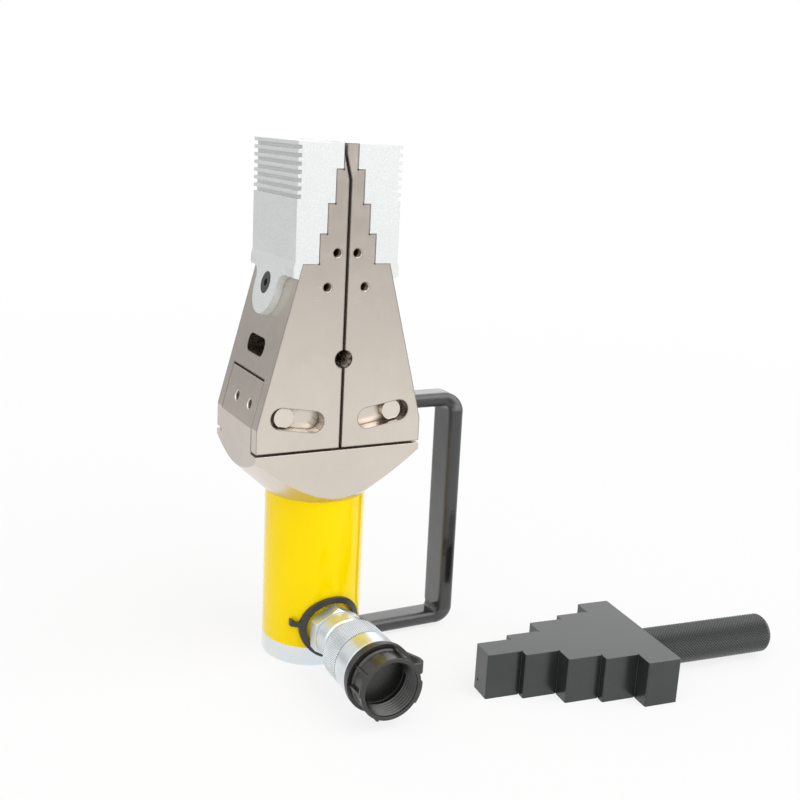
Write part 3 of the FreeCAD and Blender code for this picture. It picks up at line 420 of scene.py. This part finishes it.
def threaded_nickel(look):
    """Nickel on the crests of the tapped holes' threads, darkened all over and more in the grooves as
    painted shade.
    """
    finish = Finish("threaded_nickel")
    crevice_shade = finish.noise(1.5 * MM, 3)
    # Painted shade: the threads are kept at 5 to 28 % of the nickel and darkened further in the crevices,
    # so the holes look dark
    colour = finish.mix(finish.between(crevice_shade, 0.35, 0.65), shade(look.nickel, 0.05), shade(look.nickel, 0.28))
    colour = finish.mix(finish.crevice(4 * MM) * 0.9, colour, look.crevice_shade)
    return finish.wear(colour, 0.16 + 0.10 * crevice_shade, finish.rounded(look.fine_radius), metallic=1.0)


def bright_zinc(look, name, turning, gloss=0.17, metal=1.0):
    """Bright zinc plate on turned steel. Turning holds the factors that stretch the tool marks."""
    finish = Finish(name)
    tint = finish.noise(14 * MM, 3)
    marks = finish.noise(1.0 * MM, 3, turning)
    spots = finish.between(finish.noise(1.8 * MM, 2), 0.62, 0.72)
    soft = finish.rounded(look.edge_radius)
    edges = finish.edge_mask(soft)
    blue = (look.zinc[0] * 0.95, look.zinc[1] * 0.99, look.zinc[2] * 1.03)
    straw = (look.zinc[0] * 1.02, look.zinc[1] * 0.99, look.zinc[2] * 0.93)
    colour = finish.mix(finish.between(tint, 0.35, 0.65), blue, straw)
    colour = finish.mix(spots * 0.05, colour, shade(look.zinc, 0.6))
    colour = finish.mix(edges * 0.35, colour, shade(look.zinc, 1.2))
    roughness = gloss + 0.08 * marks + 0.08 * spots
    normal = finish.bump(marks, 0.0012 * MM, soft)
    return finish.wear(colour, roughness, normal, metallic=metal)


def knurled_zinc(look, depth):
    """Bright zinc on the knurled collar, with painted shade in the grooves."""
    finish = Finish("knurled_zinc")
    crest = (collar_high.x - collar_low.x) / 2
    tint = finish.noise(6 * MM, 3)
    grain = finish.noise(0.4 * MM, 2)
    radius = finish.off_axis((0, 0, PORT_Z), (0, 1, 0))
    grooves = finish.between(radius, crest - depth, crest - 0.5 * depth, 1.0, 0.0)
    colour = finish.mix(finish.between(tint, 0.35, 0.65), shade(look.zinc, 0.95), shade(look.zinc, 1.05))
    # Painted shade in the knurl's grooves
    colour = finish.mix(grooves * 0.8, colour, shade(look.zinc, 0.22))
    return finish.wear(colour, 0.26 + 0.08 * grain, finish.bump(grain, 0.003 * MM), metallic=0.85)


def blasted_zinc(look):
    """Zinc over bead-blasted steel: a fine frosted grain with a soft sparkle."""
    finish = Finish("blasted_zinc")
    grain = finish.noise(0.32 * MM, 3)
    coarse = finish.noise(0.9 * MM, 2)
    cloud = finish.noise(20 * MM, 3)
    soft = finish.rounded(look.edge_radius)
    edges = finish.edge_mask(soft)
    speckle = finish.between(0.5 * grain + 0.5 * coarse, 0.40, 0.62)
    colour = finish.mix(speckle, shade(look.blasted, 0.94), shade(look.blasted, 1.07))
    colour = finish.mix(finish.between(cloud, 0.4, 0.7) * 0.25, colour, shade(look.blasted, 0.95))
    colour = finish.mix(edges * 0.4, colour, shade(look.blasted, 1.15))
    roughness = 0.46 + 0.16 * grain
    normal = finish.bump(0.7 * grain + 0.3 * coarse, 0.08 * MM, soft)
    return finish.wear(colour, roughness, normal, metallic=0.55)


def ground_chrome(look):
    """Hard chrome ground round the plunger, with faint rub marks along it."""
    finish = Finish("ground_chrome")
    rings = finish.noise(0.5 * MM, 3, (0.02, 0.02, 3.0))
    rubs = finish.between(finish.noise(0.8 * MM, 2, (2.0, 2.0, 0.03)), 0.62, 0.70)
    colour = finish.mix(rubs * 0.2, look.chrome, shade(look.chrome, 0.8))
    roughness = 0.09 + 0.06 * rings + 0.08 * rubs
    return finish.wear(colour, roughness, finish.bump(rings, 0.001 * MM), metallic=1.0)


def dipped_coating(look):
    """Thick glossy black coating with the slow waves and small pimples of a dipped part."""
    finish = Finish("dipped_coating")
    waves = finish.noise(14 * MM, 2)
    pimples = finish.between(finish.cells(5 * MM), 0.0, 0.10, 1.0, 0.0)
    dust = finish.between(finish.noise(0.9 * MM, 2), 0.66, 0.74)
    colour = finish.mix(dust * 0.5, look.coating, shade(look.coating, 4.0))
    roughness = 0.06 + 0.05 * finish.noise(5 * MM, 3) + 0.12 * dust
    normal = finish.bump(waves + 0.15 * pimples, 0.35 * MM, finish.rounded(look.coat_radius))
    return finish.wear(
        colour, roughness, normal, specular_ior_level=0.7, coat_weight=0.35, coat_roughness=0.04)


def black_oxide(look):
    """Satin black oxide over milled steel, cloudy, with cutter marks and rubbed edges."""
    finish = Finish("black_oxide")
    cloud = finish.noise(18 * MM, 4)
    marks = finish.noise(1.2 * MM, 3, (0.08, 2.0, 0.5))
    grain = finish.noise(0.35 * MM, 2)
    soft = finish.rounded(look.edge_radius)
    edges = finish.edge_mask(soft)
    rubbed = finish.between(finish.noise(3 * MM, 3), 0.35, 0.7)
    colour = finish.mix(finish.between(cloud, 0.3, 0.7), shade(look.oxide, 0.8), shade(look.oxide, 1.2))
    colour = finish.mix(edges * rubbed * 0.5, colour, shade(look.oxide, 6.0))
    roughness = 0.17 + 0.10 * cloud + 0.05 * marks
    normal = finish.bump(0.6 * marks + 0.4 * grain, 0.006 * MM, soft)
    return finish.wear(colour, roughness, normal, specular_ior_level=0.65)


def knurled_oxide(look, block, depth):
    """Black oxide on the knurled grip, with the points rubbed brighter."""
    finish = Finish("knurled_oxide")
    grain = finish.noise(0.3 * MM, 2)
    radius = finish.off_axis(block.place, (math.cos(block.turn), math.sin(block.turn), 0))
    points = finish.between(radius, block.grip_radius - 0.6 * depth, block.grip_radius)
    colour = finish.mix(grain, shade(look.oxide, 0.3), shade(look.oxide, 0.7))
    colour = finish.mix(points * 0.9, colour, shade(look.oxide, 9.0))
    return finish.wear(colour, 0.20 + 0.10 * grain, finish.bump(grain, 0.004 * MM), specular_ior_level=0.7)


def screw_oxide(look):
    """Oiled black oxide on the socket screws, with turned heads and worn sockets."""
    finish = Finish("screw_oxide")
    grain = finish.noise(0.5 * MM, 3)
    soft = finish.rounded(0.6 * look.edge_radius)
    edges = finish.edge_mask(soft)
    colour = finish.mix(grain, shade(look.screw, 0.7), shade(look.screw, 1.3))
    colour = finish.mix(edges * 0.5, colour, shade(look.screw, 4.0))
    roughness = 0.30 + 0.15 * grain
    return finish.wear(colour, roughness, finish.bump(grain, 0.01 * MM, soft), metallic=0.6)


def moulded_plastic(look, name, radius, gloss=0.26):
    """Black moulded plastic with a fine sheen, flow lines and scuffed edges of the given radius."""
    finish = Finish(name)
    texture = finish.noise(0.45 * MM, 2)
    flow = finish.noise(9 * MM, 3)
    soft = finish.rounded(radius)
    edges = finish.edge_mask(soft)
    colour = finish.mix(finish.between(flow, 0.3, 0.7), shade(look.plastic, 0.85), shade(look.plastic, 1.2))
    colour = finish.mix(edges * 0.5, colour, shade(look.plastic, 7.0))
    roughness = gloss + 0.10 * flow + 0.08 * texture
    return finish.wear(colour, roughness, finish.bump(texture, 0.012 * MM, soft), specular_ior_level=0.7)


def seal_rubber(look):
    """Matt black rubber with a faint mould bloom."""
    finish = Finish("seal_rubber")
    bloom = finish.noise(4 * MM, 3)
    colour = finish.mix(bloom, shade(look.plastic, 0.8), shade(look.plastic, 1.6))
    return finish.wear(colour, 0.55 + 0.2 * bloom, finish.bump(finish.noise(0.6 * MM), 0.01 * MM))


def turned_bronze(look):
    """Machined bronze with fine turning marks."""
    finish = Finish("turned_bronze")
    marks = finish.noise(0.8 * MM, 3, (0.05, 0.05, 3.0))
    colour = finish.mix(finish.noise(8 * MM), shade(look.bronze, 0.85), shade(look.bronze, 1.1))
    return finish.wear(colour, 0.25 + 0.15 * marks, finish.bump(marks, 0.004 * MM), metallic=1.0)


def drawn_wire(look):
    """Spring wire with drawing lines and an oily tone."""
    finish = Finish("drawn_wire")
    lines = finish.noise(0.4 * MM, 3)
    colour = finish.mix(finish.noise(5 * MM), shade(look.spring, 0.7), shade(look.spring, 1.1))
    return finish.wear(colour, 0.28 + 0.15 * lines, finish.bump(lines, 0.004 * MM), metallic=1.0)


NODE_FINISHES = {
    "port_nipple": "port_zinc", "coupler_body": "port_zinc", "coupler_collar": "port_zinc",
    "coupler_poppet": "port_zinc", "left_jaw": "jaw_nickel", "right_jaw": "jaw_nickel",
    "guide_pin_left": "pin_nickel", "guide_pin_right": "pin_nickel",
}


def make_finishes(look, block, knurl):
    """Every material by the record's slot, and those that single nodes and pieces need."""
    return {
        "yellow_paint": yellow_enamel(look),
        "nickel_plate": satin_nickel(look, "satin_nickel"),
        # The jaws' edges are painted dark, 1 mm wide: painted shade that widens the split and outlines the
        # slots
        "jaw_nickel": satin_nickel(look, "jaw_nickel", edge_tone=0.15, edge_width=1.0 * MM),
        "pin_nickel": satin_nickel(look, "pin_nickel", tone=1.1),
        "threaded_nickel": threaded_nickel(look),
        "zinc_plate": bright_zinc(look, "bright_zinc", (0.05, 0.05, 3.0)),
        "port_zinc": bright_zinc(look, "bright_zinc_port", (0.05, 3.0, 0.05), gloss=0.30, metal=0.85),
        "knurled_zinc": knurled_zinc(look, knurl.depth),
        "blasted_steel": blasted_zinc(look),
        "hard_chrome": ground_chrome(look),
        "black_enamel": dipped_coating(look),
        "black_oxide": black_oxide(look),
        "knurled_oxide": knurled_oxide(look, block, knurl.depth),
        "screw_oxide": screw_oxide(look),
        "black_plastic": moulded_plastic(look, "moulded_plastic", look.edge_radius),
        "cap_plastic": moulded_plastic(look, "moulded_cap", look.fine_radius, gloss=0.18),
        "seal_rubber": seal_rubber(look),
        "bronze": turned_bronze(look),
        "spring_steel": drawn_wire(look),
    }


finishes = {}


# Mesh helpers


def chain(bm, points):
    """A line of edges through (radius, along) points, in the XZ plane."""
    verts = [bm.verts.new((r, 0, z)) for r, z in points]
    edges = [bm.edges.new(pair) for pair in zip(verts, verts[1:])]
    return verts + edges


def spin_closed(bm, geometry, steps):
    """Turns a profile once about Z and closes it."""
    bmesh.ops.spin(bm, geom=geometry, cent=(0, 0, 0), axis=(0, 0, 1), dvec=(0, 0, 0), angle=FULL_TURN,
                   steps=steps, use_merge=True, use_normal_flip=False, use_duplicate=False)


def swept_bar(bm, outline, angle, rise, steps, first=0.0):
    """A closed (radius, along) outline turned about Z while it rises, with both ends closed."""
    verts = [bm.verts.new((r, 0, z)) for r, z in outline]
    bmesh.ops.rotate(bm, verts=verts, cent=(0, 0, 0), matrix=Matrix.Rotation(first, 3, "Z"))
    edges = [bm.edges.new(pair) for pair in zip(verts, verts[1:] + verts[:1])]
    swept = bmesh.ops.spin(bm, geom=verts + edges, cent=(0, 0, 0), axis=(0, 0, 1),
                           dvec=(0, 0, rise / steps), angle=angle, steps=steps, use_merge=False,
                           use_normal_flip=False, use_duplicate=False)
    bm.faces.new(verts)
    bm.faces.new([item for item in swept["geom_last"] if isinstance(item, bmesh.types.BMVert)])


def thread_ridge(bm, radius, height, pitch, turns, start, first=0.0, steps=48):
    """A helical ridge that stands inwards from a bore about Z."""
    half = 0.42 * pitch
    root = radius + 0.1 * MM
    outline = [(root, start - half), (radius - height, start), (root, start + half)]
    swept_bar(bm, outline, FULL_TURN * turns, pitch * turns, max(3, round(steps * turns)), first)


def port_matrix(start):
    """From turning axes, with Z outwards, to the port's axis. Start is the lowest distance along -Y."""
    return Matrix.Translation((0, -start, PORT_Z)) @ Matrix.Rotation(math.radians(90), 4, "X")


def grip_matrix(block):
    """From turning axes, with Z outwards, to the end of the safety block."""
    turn = Matrix.Rotation(block.turn, 4, "Z") @ Matrix.Translation((block.length, 0, 0))
    return Matrix.Translation(block.place) @ turn @ Matrix.Rotation(math.radians(90), 4, "Y")


def rows_of(start, end, pitch, radius):
    """A straight profile from start to end, cut into whole rows of about the pitch."""
    count = round((end - start) / pitch)
    return [(radius, start + (end - start) * k / count) for k in range(count + 1)]


def knurl_band(bm, start, end, valley, depth):
    """Turns the square faces of a turned band into a diamond knurl whose grooves run both ways."""
    inside = valley - 0.2 * MM
    zone = [f for f in bm.faces if start < f.calc_center_median().z < end
            and f.calc_center_median().xy.length > inside]
    members = set(zone)
    inner = [e for e in bm.edges if e.link_faces and all(f in members for f in e.link_faces)]
    centres = set(bmesh.ops.poke(bm, faces=zone, offset=0.0)["verts"])
    bmesh.ops.dissolve_edges(bm, edges=inner, use_verts=False, use_face_split=False)
    diamonds = [f for f in bm.faces if len(f.verts) == 4 and sum(v in centres for v in f.verts) == 2]
    bmesh.ops.poke(bm, faces=diamonds, offset=depth)


def turned_mesh(profile, steps):
    """A closed mesh turned about Z from (radius, along) points."""
    bm = bmesh.new()
    spin_closed(bm, chain(bm, profile), steps)
    bmesh.ops.remove_doubles(bm, verts=bm.verts, dist=1e-6)
    bmesh.ops.recalc_face_normals(bm, faces=bm.faces)
    return bm


def soften(bm, radius, sharpest=25, segments=3):
    """Rounds every edge that turns by more than an angle."""
    edges = [e for e in bm.edges if len(e.link_faces) == 2 and e.calc_face_angle() > math.radians(sharpest)]
    bmesh.ops.bevel(bm, geom=edges, offset=radius, offset_type="OFFSET", affect="EDGES", segments=segments,
                    profile=0.5, material=-1, clamp_overlap=True)


def add_box(bm, size, matrix, radius):
    """A block with rounded edges, placed by a matrix."""
    block = bmesh.new()
    bmesh.ops.create_cube(block, size=1.0, matrix=matrix @ Matrix.Diagonal((*size, 1)))
    soften(block, radius)
    part = bpy.data.meshes.new("part")
    block.to_mesh(part)
    block.free()
    bm.from_mesh(part)
    bpy.data.meshes.remove(part)


def add_piece(bm, name, body, material, replaced=(), sharp=30):
    """Closes a mesh, makes it an object with its finish and lets it ride on its body."""
    bmesh.ops.remove_doubles(bm, verts=bm.verts, dist=1e-6)
    bmesh.ops.recalc_face_normals(bm, faces=bm.faces)
    mesh = bpy.data.meshes.new(name)
    bm.to_mesh(mesh)
    bm.free()
    mesh.materials.append(material)
    mesh.shade_smooth()
    mesh.set_sharp_from_angle(angle=math.radians(sharp))
    piece = bpy.data.objects.new(name, mesh)
    bpy.context.scene.collection.objects.link(piece)
    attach(piece, body)
    if replaced:
        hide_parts(*replaced)


# Operators


class SPREADER_OT_camera(bpy.types.Operator):
    """Place the camera at the photograph's viewpoint"""

    bl_idname = "spreader.camera"
    bl_label = "Camera"

    def execute(self, context):
        studio = context.scene.spreader_studio
        sin_a, cos_a = math.sin(studio.azimuth), math.cos(studio.azimuth)
        sin_e, cos_e = math.sin(studio.elevation), math.cos(studio.elevation)
        forward = Vector((sin_a * cos_e, cos_a * cos_e, -sin_e))
        level = Vector((cos_a, -sin_a, 0))
        rise = level.cross(forward)
        right = math.cos(studio.roll) * level + math.sin(studio.roll) * rise
        upward = math.cos(studio.roll) * rise - math.sin(studio.roll) * level
        data = bpy.data.cameras.new("view")
        data.lens = studio.lens
        data.clip_start = 0.01
        camera = bpy.data.objects.new("view", data)
        turn = Matrix((right, upward, -forward)).transposed().to_4x4()
        camera.matrix_world = Matrix.Translation(studio.viewpoint) @ turn
        context.scene.collection.objects.link(camera)
        context.scene.camera = camera
        return {"FINISHED"}


class SPREADER_OT_studio(bpy.types.Operator):
    """Lay the pale floor and light the scene softly"""

    bl_idname = "spreader.studio"
    bl_label = "Studio"

    def execute(self, context):
        studio = context.scene.spreader_studio
        self.floor(context, studio)
        self.sky(context, studio)
        self.lamp(context, "key", studio.key_strength, *KEY_LAMP)
        self.lamp(context, "fill", studio.fill_strength, *FILL_LAMP)
        context.scene.view_settings.view_transform = "Standard"
        return {"FINISHED"}

    def floor(self, context, studio):
        """A pale floor that keeps the shadow near the object and fades into the white beyond."""
        bm = bmesh.new()
        bmesh.ops.create_grid(bm, x_segments=1, y_segments=1, size=studio.floor_size / 2)
        mesh = bpy.data.meshes.new("floor")
        bm.to_mesh(mesh)
        bm.free()
        floor = bpy.data.objects.new("floor", mesh)
        context.scene.collection.objects.link(floor)
        finish = Finish("pale_floor")
        finish.feed(finish.shader.inputs["Base Color"], (0.86, 0.86, 0.86))
        finish.feed(finish.shader.inputs["Roughness"], 0.9)
        distance = finish.vector("LENGTH", finish.place, output="Value")
        across = finish.vector("DOT_PRODUCT", finish.place, DARK_SIDE, output="Value")
        near_level = 1.08
        dark_level = 0.9 * studio.dark_side
        mirror_share = 0.85
        fade = finish.between(distance, studio.shadow_end, studio.white_start, studio.floor_white, 1.0)
        mirrored = finish.between(
            distance, studio.mirror_near, studio.mirror_far, near_level, studio.horizon)
        mirrored = mirrored * finish.between(across, 0.05, 0.4, 1.0, dark_level)
        glossy = finish.ray("Glossy")
        seen = finish.ray("Camera").larger(finish.ray("Transmission"))
        share = fade * seen + mirror_share * glossy
        strength = glossy * mirrored + (1 - glossy)
        white = finish.node("ShaderNodeEmission", {}, {"Color": (1, 1, 1), "Strength": strength})
        plain = Signal(finish, finish.shader.outputs[0])
        both = finish.node("ShaderNodeMixShader", {}, {0: share, 1: plain, 2: white})
        output = finish.node_tree.nodes["Material Output"]
        finish.feed(output.inputs["Surface"], both)
        mesh.materials.append(finish.material)

    def sky(self, context, studio):
        """White to the camera. Reflections also find a darker side, a darker horizon and a soft box."""
        world = bpy.data.worlds.new("studio")
        context.scene.world = world
        world.use_nodes = True
        tree = Tree(world.node_tree)
        direction = tree.node("ShaderNodeTexCoord", output="Generated")
        height = tree.node("ShaderNodeSeparateXYZ", {}, {0: direction}, "Z")
        toward = tree.vector("DOT_PRODUCT", direction, DARK_SIDE, output="Value")
        behind = tree.vector("DOT_PRODUCT", direction, SOFT_BOX, output="Value")
        dim = tree.between(toward, 0.6, 0.97, 1.0, studio.dark_side)
        box = tree.between(behind, 0.80, 0.96, 1.0, studio.soft_box)
        lift = tree.between(abs(height), 0.02, 0.20, studio.horizon, 1.0)
        glossy = tree.ray("Glossy")
        plain = studio.sky_strength * (1 - glossy) + glossy * dim * lift * box
        strength = tree.ray("Camera").larger(tree.ray("Transmission")).larger(plain)
        background = world.node_tree.nodes["Background"]
        tree.feed(background.inputs["Color"], (1, 1, 1))
        tree.feed(background.inputs["Strength"], strength)

    def lamp(self, context, name, strength, azimuth, elevation, width):
        """A broad lamp, turned by its azimuth, elevation and width in degrees."""
        data = bpy.data.lights.new(name, "SUN")
        data.energy = strength
        data.angle = math.radians(width)
        lamp = bpy.data.objects.new(name, data)
        tilt = Matrix.Rotation(math.radians(90 - elevation), 4, "X")
        lamp.matrix_world = Matrix.Rotation(math.radians(azimuth), 4, "Z") @ tilt
        context.scene.collection.objects.link(lamp)


class SPREADER_OT_finishes(bpy.types.Operator):
    """Give each solid of the part its finish"""

    bl_idname = "spreader.finishes"
    bl_label = "Finishes"

    def execute(self, context):
        scene = context.scene
        ready = make_finishes(scene.spreader_finish, scene.spreader_block, scene.spreader_knurl)
        finishes.update(ready)
        for part in frame["record"]["subparts"]:
            name = part["node"]
            key = NODE_FINISHES.get(name, part["material_slot"])
            for slot in frame["nodes"][name].material_slots:
                slot.material = finishes[key]
        return {"FINISHED"}


class SPREADER_OT_collar(bpy.types.Operator):
    """Model the coupler's collar with its diamond knurl"""

    bl_idname = "spreader.collar"
    bl_label = "Coupler collar"

    def execute(self, context):
        sizes = context.scene.spreader_knurl
        length = collar_high.y - collar_low.y
        crest = (collar_high.x - collar_low.x) / 2
        valley = crest - sizes.depth
        band = crest - 0.2 * MM
        bore = 12.08 * MM
        mouth = 14.4 * MM
        mouth_floor = length - 8.6 * MM
        chamfer = 2.0 * MM
        corner = 0.3 * MM
        knurl_end = 17.8 * MM
        groove_end = knurl_end + 0.25 * MM
        band_start = knurl_end + 0.6 * MM
        band_end = length - 1.0 * MM
        lip = 0.35 * MM
        profile = [(bore, 0.0), (crest - chamfer - corner, 0.0), (crest - chamfer, corner / 3)]
        profile += rows_of(chamfer, knurl_end, sizes.collar_pitch, valley)
        profile += [
            (band - lip, groove_end), (band, band_start), (band, band_end), (band - lip, length - corner),
            (band - 3 * lip, length), (mouth + lip, length), (mouth, length - lip), (mouth, mouth_floor),
            (bore, mouth_floor), (bore, 0.0),
        ]
        bm = turned_mesh(profile, round(FULL_TURN * crest / sizes.collar_pitch))
        knurl_band(bm, chamfer, knurl_end, valley, sizes.depth)
        bm.transform(port_matrix(-collar_high.y))
        add_piece(bm, "knurled_collar", "collar", finishes["knurled_zinc"],
                  replaced=["coupler_collar"], sharp=20)
        return {"FINISHED"}


class SPREADER_OT_grip(bpy.types.Operator):
    """Model the safety block's knurled grip"""

    bl_idname = "spreader.grip"
    bl_label = "Knurled grip"

    def execute(self, context):
        sizes = context.scene.spreader_knurl
        block = context.scene.spreader_block
        crest = block.grip_radius
        valley = crest - sizes.depth
        chamfer = 1.5 * MM
        corner = 0.3 * MM
        end_face = crest - chamfer
        start = 0.7 * MM
        end = block.grip_length - chamfer
        profile = [
            (0, -block.stud_length), (block.stud_radius, -block.stud_length), (block.stud_radius, 0),
            (valley - 0.5 * MM, 0),
        ]
        profile += rows_of(start, end, sizes.grip_pitch, valley)
        profile += [
            (end_face, block.grip_length - corner / 2), (end_face - corner, block.grip_length),
            (0, block.grip_length),
        ]
        bm = turned_mesh(profile, round(FULL_TURN * crest / sizes.grip_pitch))
        knurl_band(bm, start, end, valley, sizes.depth)
        bm.transform(grip_matrix(block))
        add_piece(bm, "knurled_grip", "stand_block", finishes["knurled_oxide"],
                  replaced=["safety_block_grip"], sharp=20)
        return {"FINISHED"}


class SPREADER_OT_dust_cap(bpy.types.Operator):
    """Model the dust cap with its rounded ribs and its inner thread"""

    bl_idname = "spreader.dust_cap"
    bl_label = "Dust cap"

    def execute(self, context):
        cap = context.scene.spreader_cap
        flange_end = cap.flange_width
        groove_end = flange_end + cap.groove_width
        shoulder_end = groove_end + 1.0 * MM
        step = cap.rim_radius - cap.wall_radius
        stub_end = -cap.stub_length
        mouth = cap.socket_radius
        rim_start = cap.length - cap.rim_width
        profile = [
            (0, 0), (cap.stub_bore, 0), (cap.stub_bore, stub_end), (cap.stub_radius, stub_end),
            (cap.stub_radius, 0), (cap.flange_radius, 0), (cap.flange_radius, flange_end),
            (cap.groove_radius, flange_end), (cap.groove_radius, groove_end),
            (cap.rim_radius, groove_end), (cap.rim_radius, shoulder_end),
            (cap.wall_radius, shoulder_end + step), (cap.wall_radius, rim_start),
            (cap.rim_radius, rim_start + step), (cap.rim_radius, cap.length), (mouth, cap.length),
            (mouth - 0.1 * MM, cap.floor), (0, cap.floor),
        ]
        bm = turned_mesh(profile, context.scene.spreader_knurl.smooth_steps)
        soften(bm, radius=0.3 * MM)
        self.ribs(bm, cap, groove_end)
        turns = (cap.length - cap.floor) / cap.thread_pitch - 1.5
        thread_ridge(bm, mouth, cap.thread_height, cap.thread_pitch, turns, cap.floor + cap.thread_pitch)
        bm.transform(port_matrix(-cap_high.y + cap.stub_length))
        add_piece(bm, "ribbed_dust_cap", "cap", finishes["cap_plastic"], ["dust_cap"])
        return {"FINISHED"}

    def ribs(self, bm, cap, start):
        """Grip ribs in two groups of three, with a raised rim between the close ones."""
        root = cap.wall_radius - 1.0 * MM
        length = cap.length - start - 0.1 * MM
        size = (cap.rib_radius - root, cap.rib_width, length)
        middle = Matrix.Translation(((cap.rib_radius + root) / 2, 0, start + length / 2))
        rim_start = cap.length - cap.rim_width
        rim_end = cap.length - 0.05 * MM
        corner = 0.3 * MM
        rim = [
            (root, rim_start), (cap.rib_radius, rim_start), (cap.rib_radius, cap.length - corner),
            (cap.rib_radius - corner, rim_end), (root, rim_end),
        ]
        arc = math.radians(RIB_ANGLES[2] - RIB_ANGLES[1])
        for half_turn in (0, 180):
            for angle in RIB_ANGLES:
                spin = Matrix.Rotation(math.radians(angle + half_turn), 4, "Z")
                add_box(bm, size, spin @ middle, radius=0.35 * MM)
            swept_bar(bm, rim, arc, rise=0, steps=8, first=math.radians(RIB_ANGLES[1] + half_turn))


class SPREADER_OT_threads(bpy.types.Operator):
    """Model the threads in the jaws' tapped holes"""

    bl_idname = "spreader.threads"
    bl_label = "Jaw threads"

    def execute(self, context):
        holes = context.scene.spreader_holes
        for name, side in (("left", -1), ("right", 1)):
            bm = bmesh.new()
            for face in (-1, 1):
                self.small_holes(bm, holes, side, face)
                self.split_hole(bm, holes, side, face)
            jaw = name + "_jaw"
            add_piece(bm, jaw + "_threads", jaw + "_body", finishes["threaded_nickel"])
        return {"FINISHED"}

    def place(self, bm, before, holes, x, z, face):
        """Moves the new vertices from turning axes, with Z into the steel, to a hole's mouth."""
        turn = Matrix.Rotation(math.radians(90 * face), 4, "X")
        matrix = Matrix.Translation((x, face * holes.face, z)) @ turn
        bmesh.ops.transform(bm, verts=[v for v in bm.verts if v not in before], matrix=matrix)

    def small_holes(self, bm, holes, side, face):
        """The two small threads of one jaw's face."""
        turns = holes.depth / holes.pitch - 1
        start = 0.9 * MM
        for x, z in (holes.upper, holes.lower):
            before = set(bm.verts)
            thread_ridge(bm, holes.radius, holes.ridge, holes.pitch, turns, start, steps=24)
            self.place(bm, before, holes, side * x, z, face)

    def split_hole(self, bm, holes, side, face):
        """One jaw's half of the thread in the hole on the split."""
        before = set(bm.verts)
        arc = 160
        first = math.radians(-arc / 2 if side > 0 else 180 - arc / 2)
        pitch = holes.split_pitch
        lag = 0.0 if side > 0 else pitch / 2
        for k in range(round(holes.split_depth / pitch) - 1):
            start = pitch * (k + 0.8) + lag
            thread_ridge(bm, holes.split_radius, holes.split_ridge, pitch, arc / 360, start, first)
        self.place(bm, before, holes, 0, holes.split_height, face)


class SPREADER_PT_panel(bpy.types.Panel):
    """Lists the steps that dress the spreader"""

    bl_idname = "SPREADER_PT_panel"
    bl_label = "Flange spreader"
    bl_space_type = "VIEW_3D"
    bl_region_type = "UI"
    bl_category = "Spreader"

    def draw(self, context):
        for step in STEPS:
            self.layout.operator(step.bl_idname)


STEPS = (
    SPREADER_OT_camera, SPREADER_OT_studio, SPREADER_OT_finishes, SPREADER_OT_collar, SPREADER_OT_grip,
    SPREADER_OT_dust_cap, SPREADER_OT_threads,
)
SETTINGS = {
    "spreader_finish": FinishSettings,
    "spreader_knurl": KnurlSettings,
    "spreader_block": BlockSettings,
    "spreader_cap": CapSettings,
    "spreader_holes": HoleSettings,
    "spreader_studio": StudioSettings,
}


def register():
    for group in SETTINGS.values():
        bpy.utils.register_class(group)
    for name, group in SETTINGS.items():
        setattr(bpy.types.Scene, name, PointerProperty(type=group))
    for step in STEPS:
        bpy.utils.register_class(step)
    bpy.utils.register_class(SPREADER_PT_panel)


def unregister():
    bpy.utils.unregister_class(SPREADER_PT_panel)
    for step in reversed(STEPS):
        bpy.utils.unregister_class(step)
    for name, group in SETTINGS.items():
        delattr(bpy.types.Scene, name)
        bpy.utils.unregister_class(group)


def main():
    register()
    for step in STEPS:
        group, action = step.bl_idname.split(".")
        getattr(getattr(bpy.ops, group), action)()


if __name__ == "__main__":
    main()
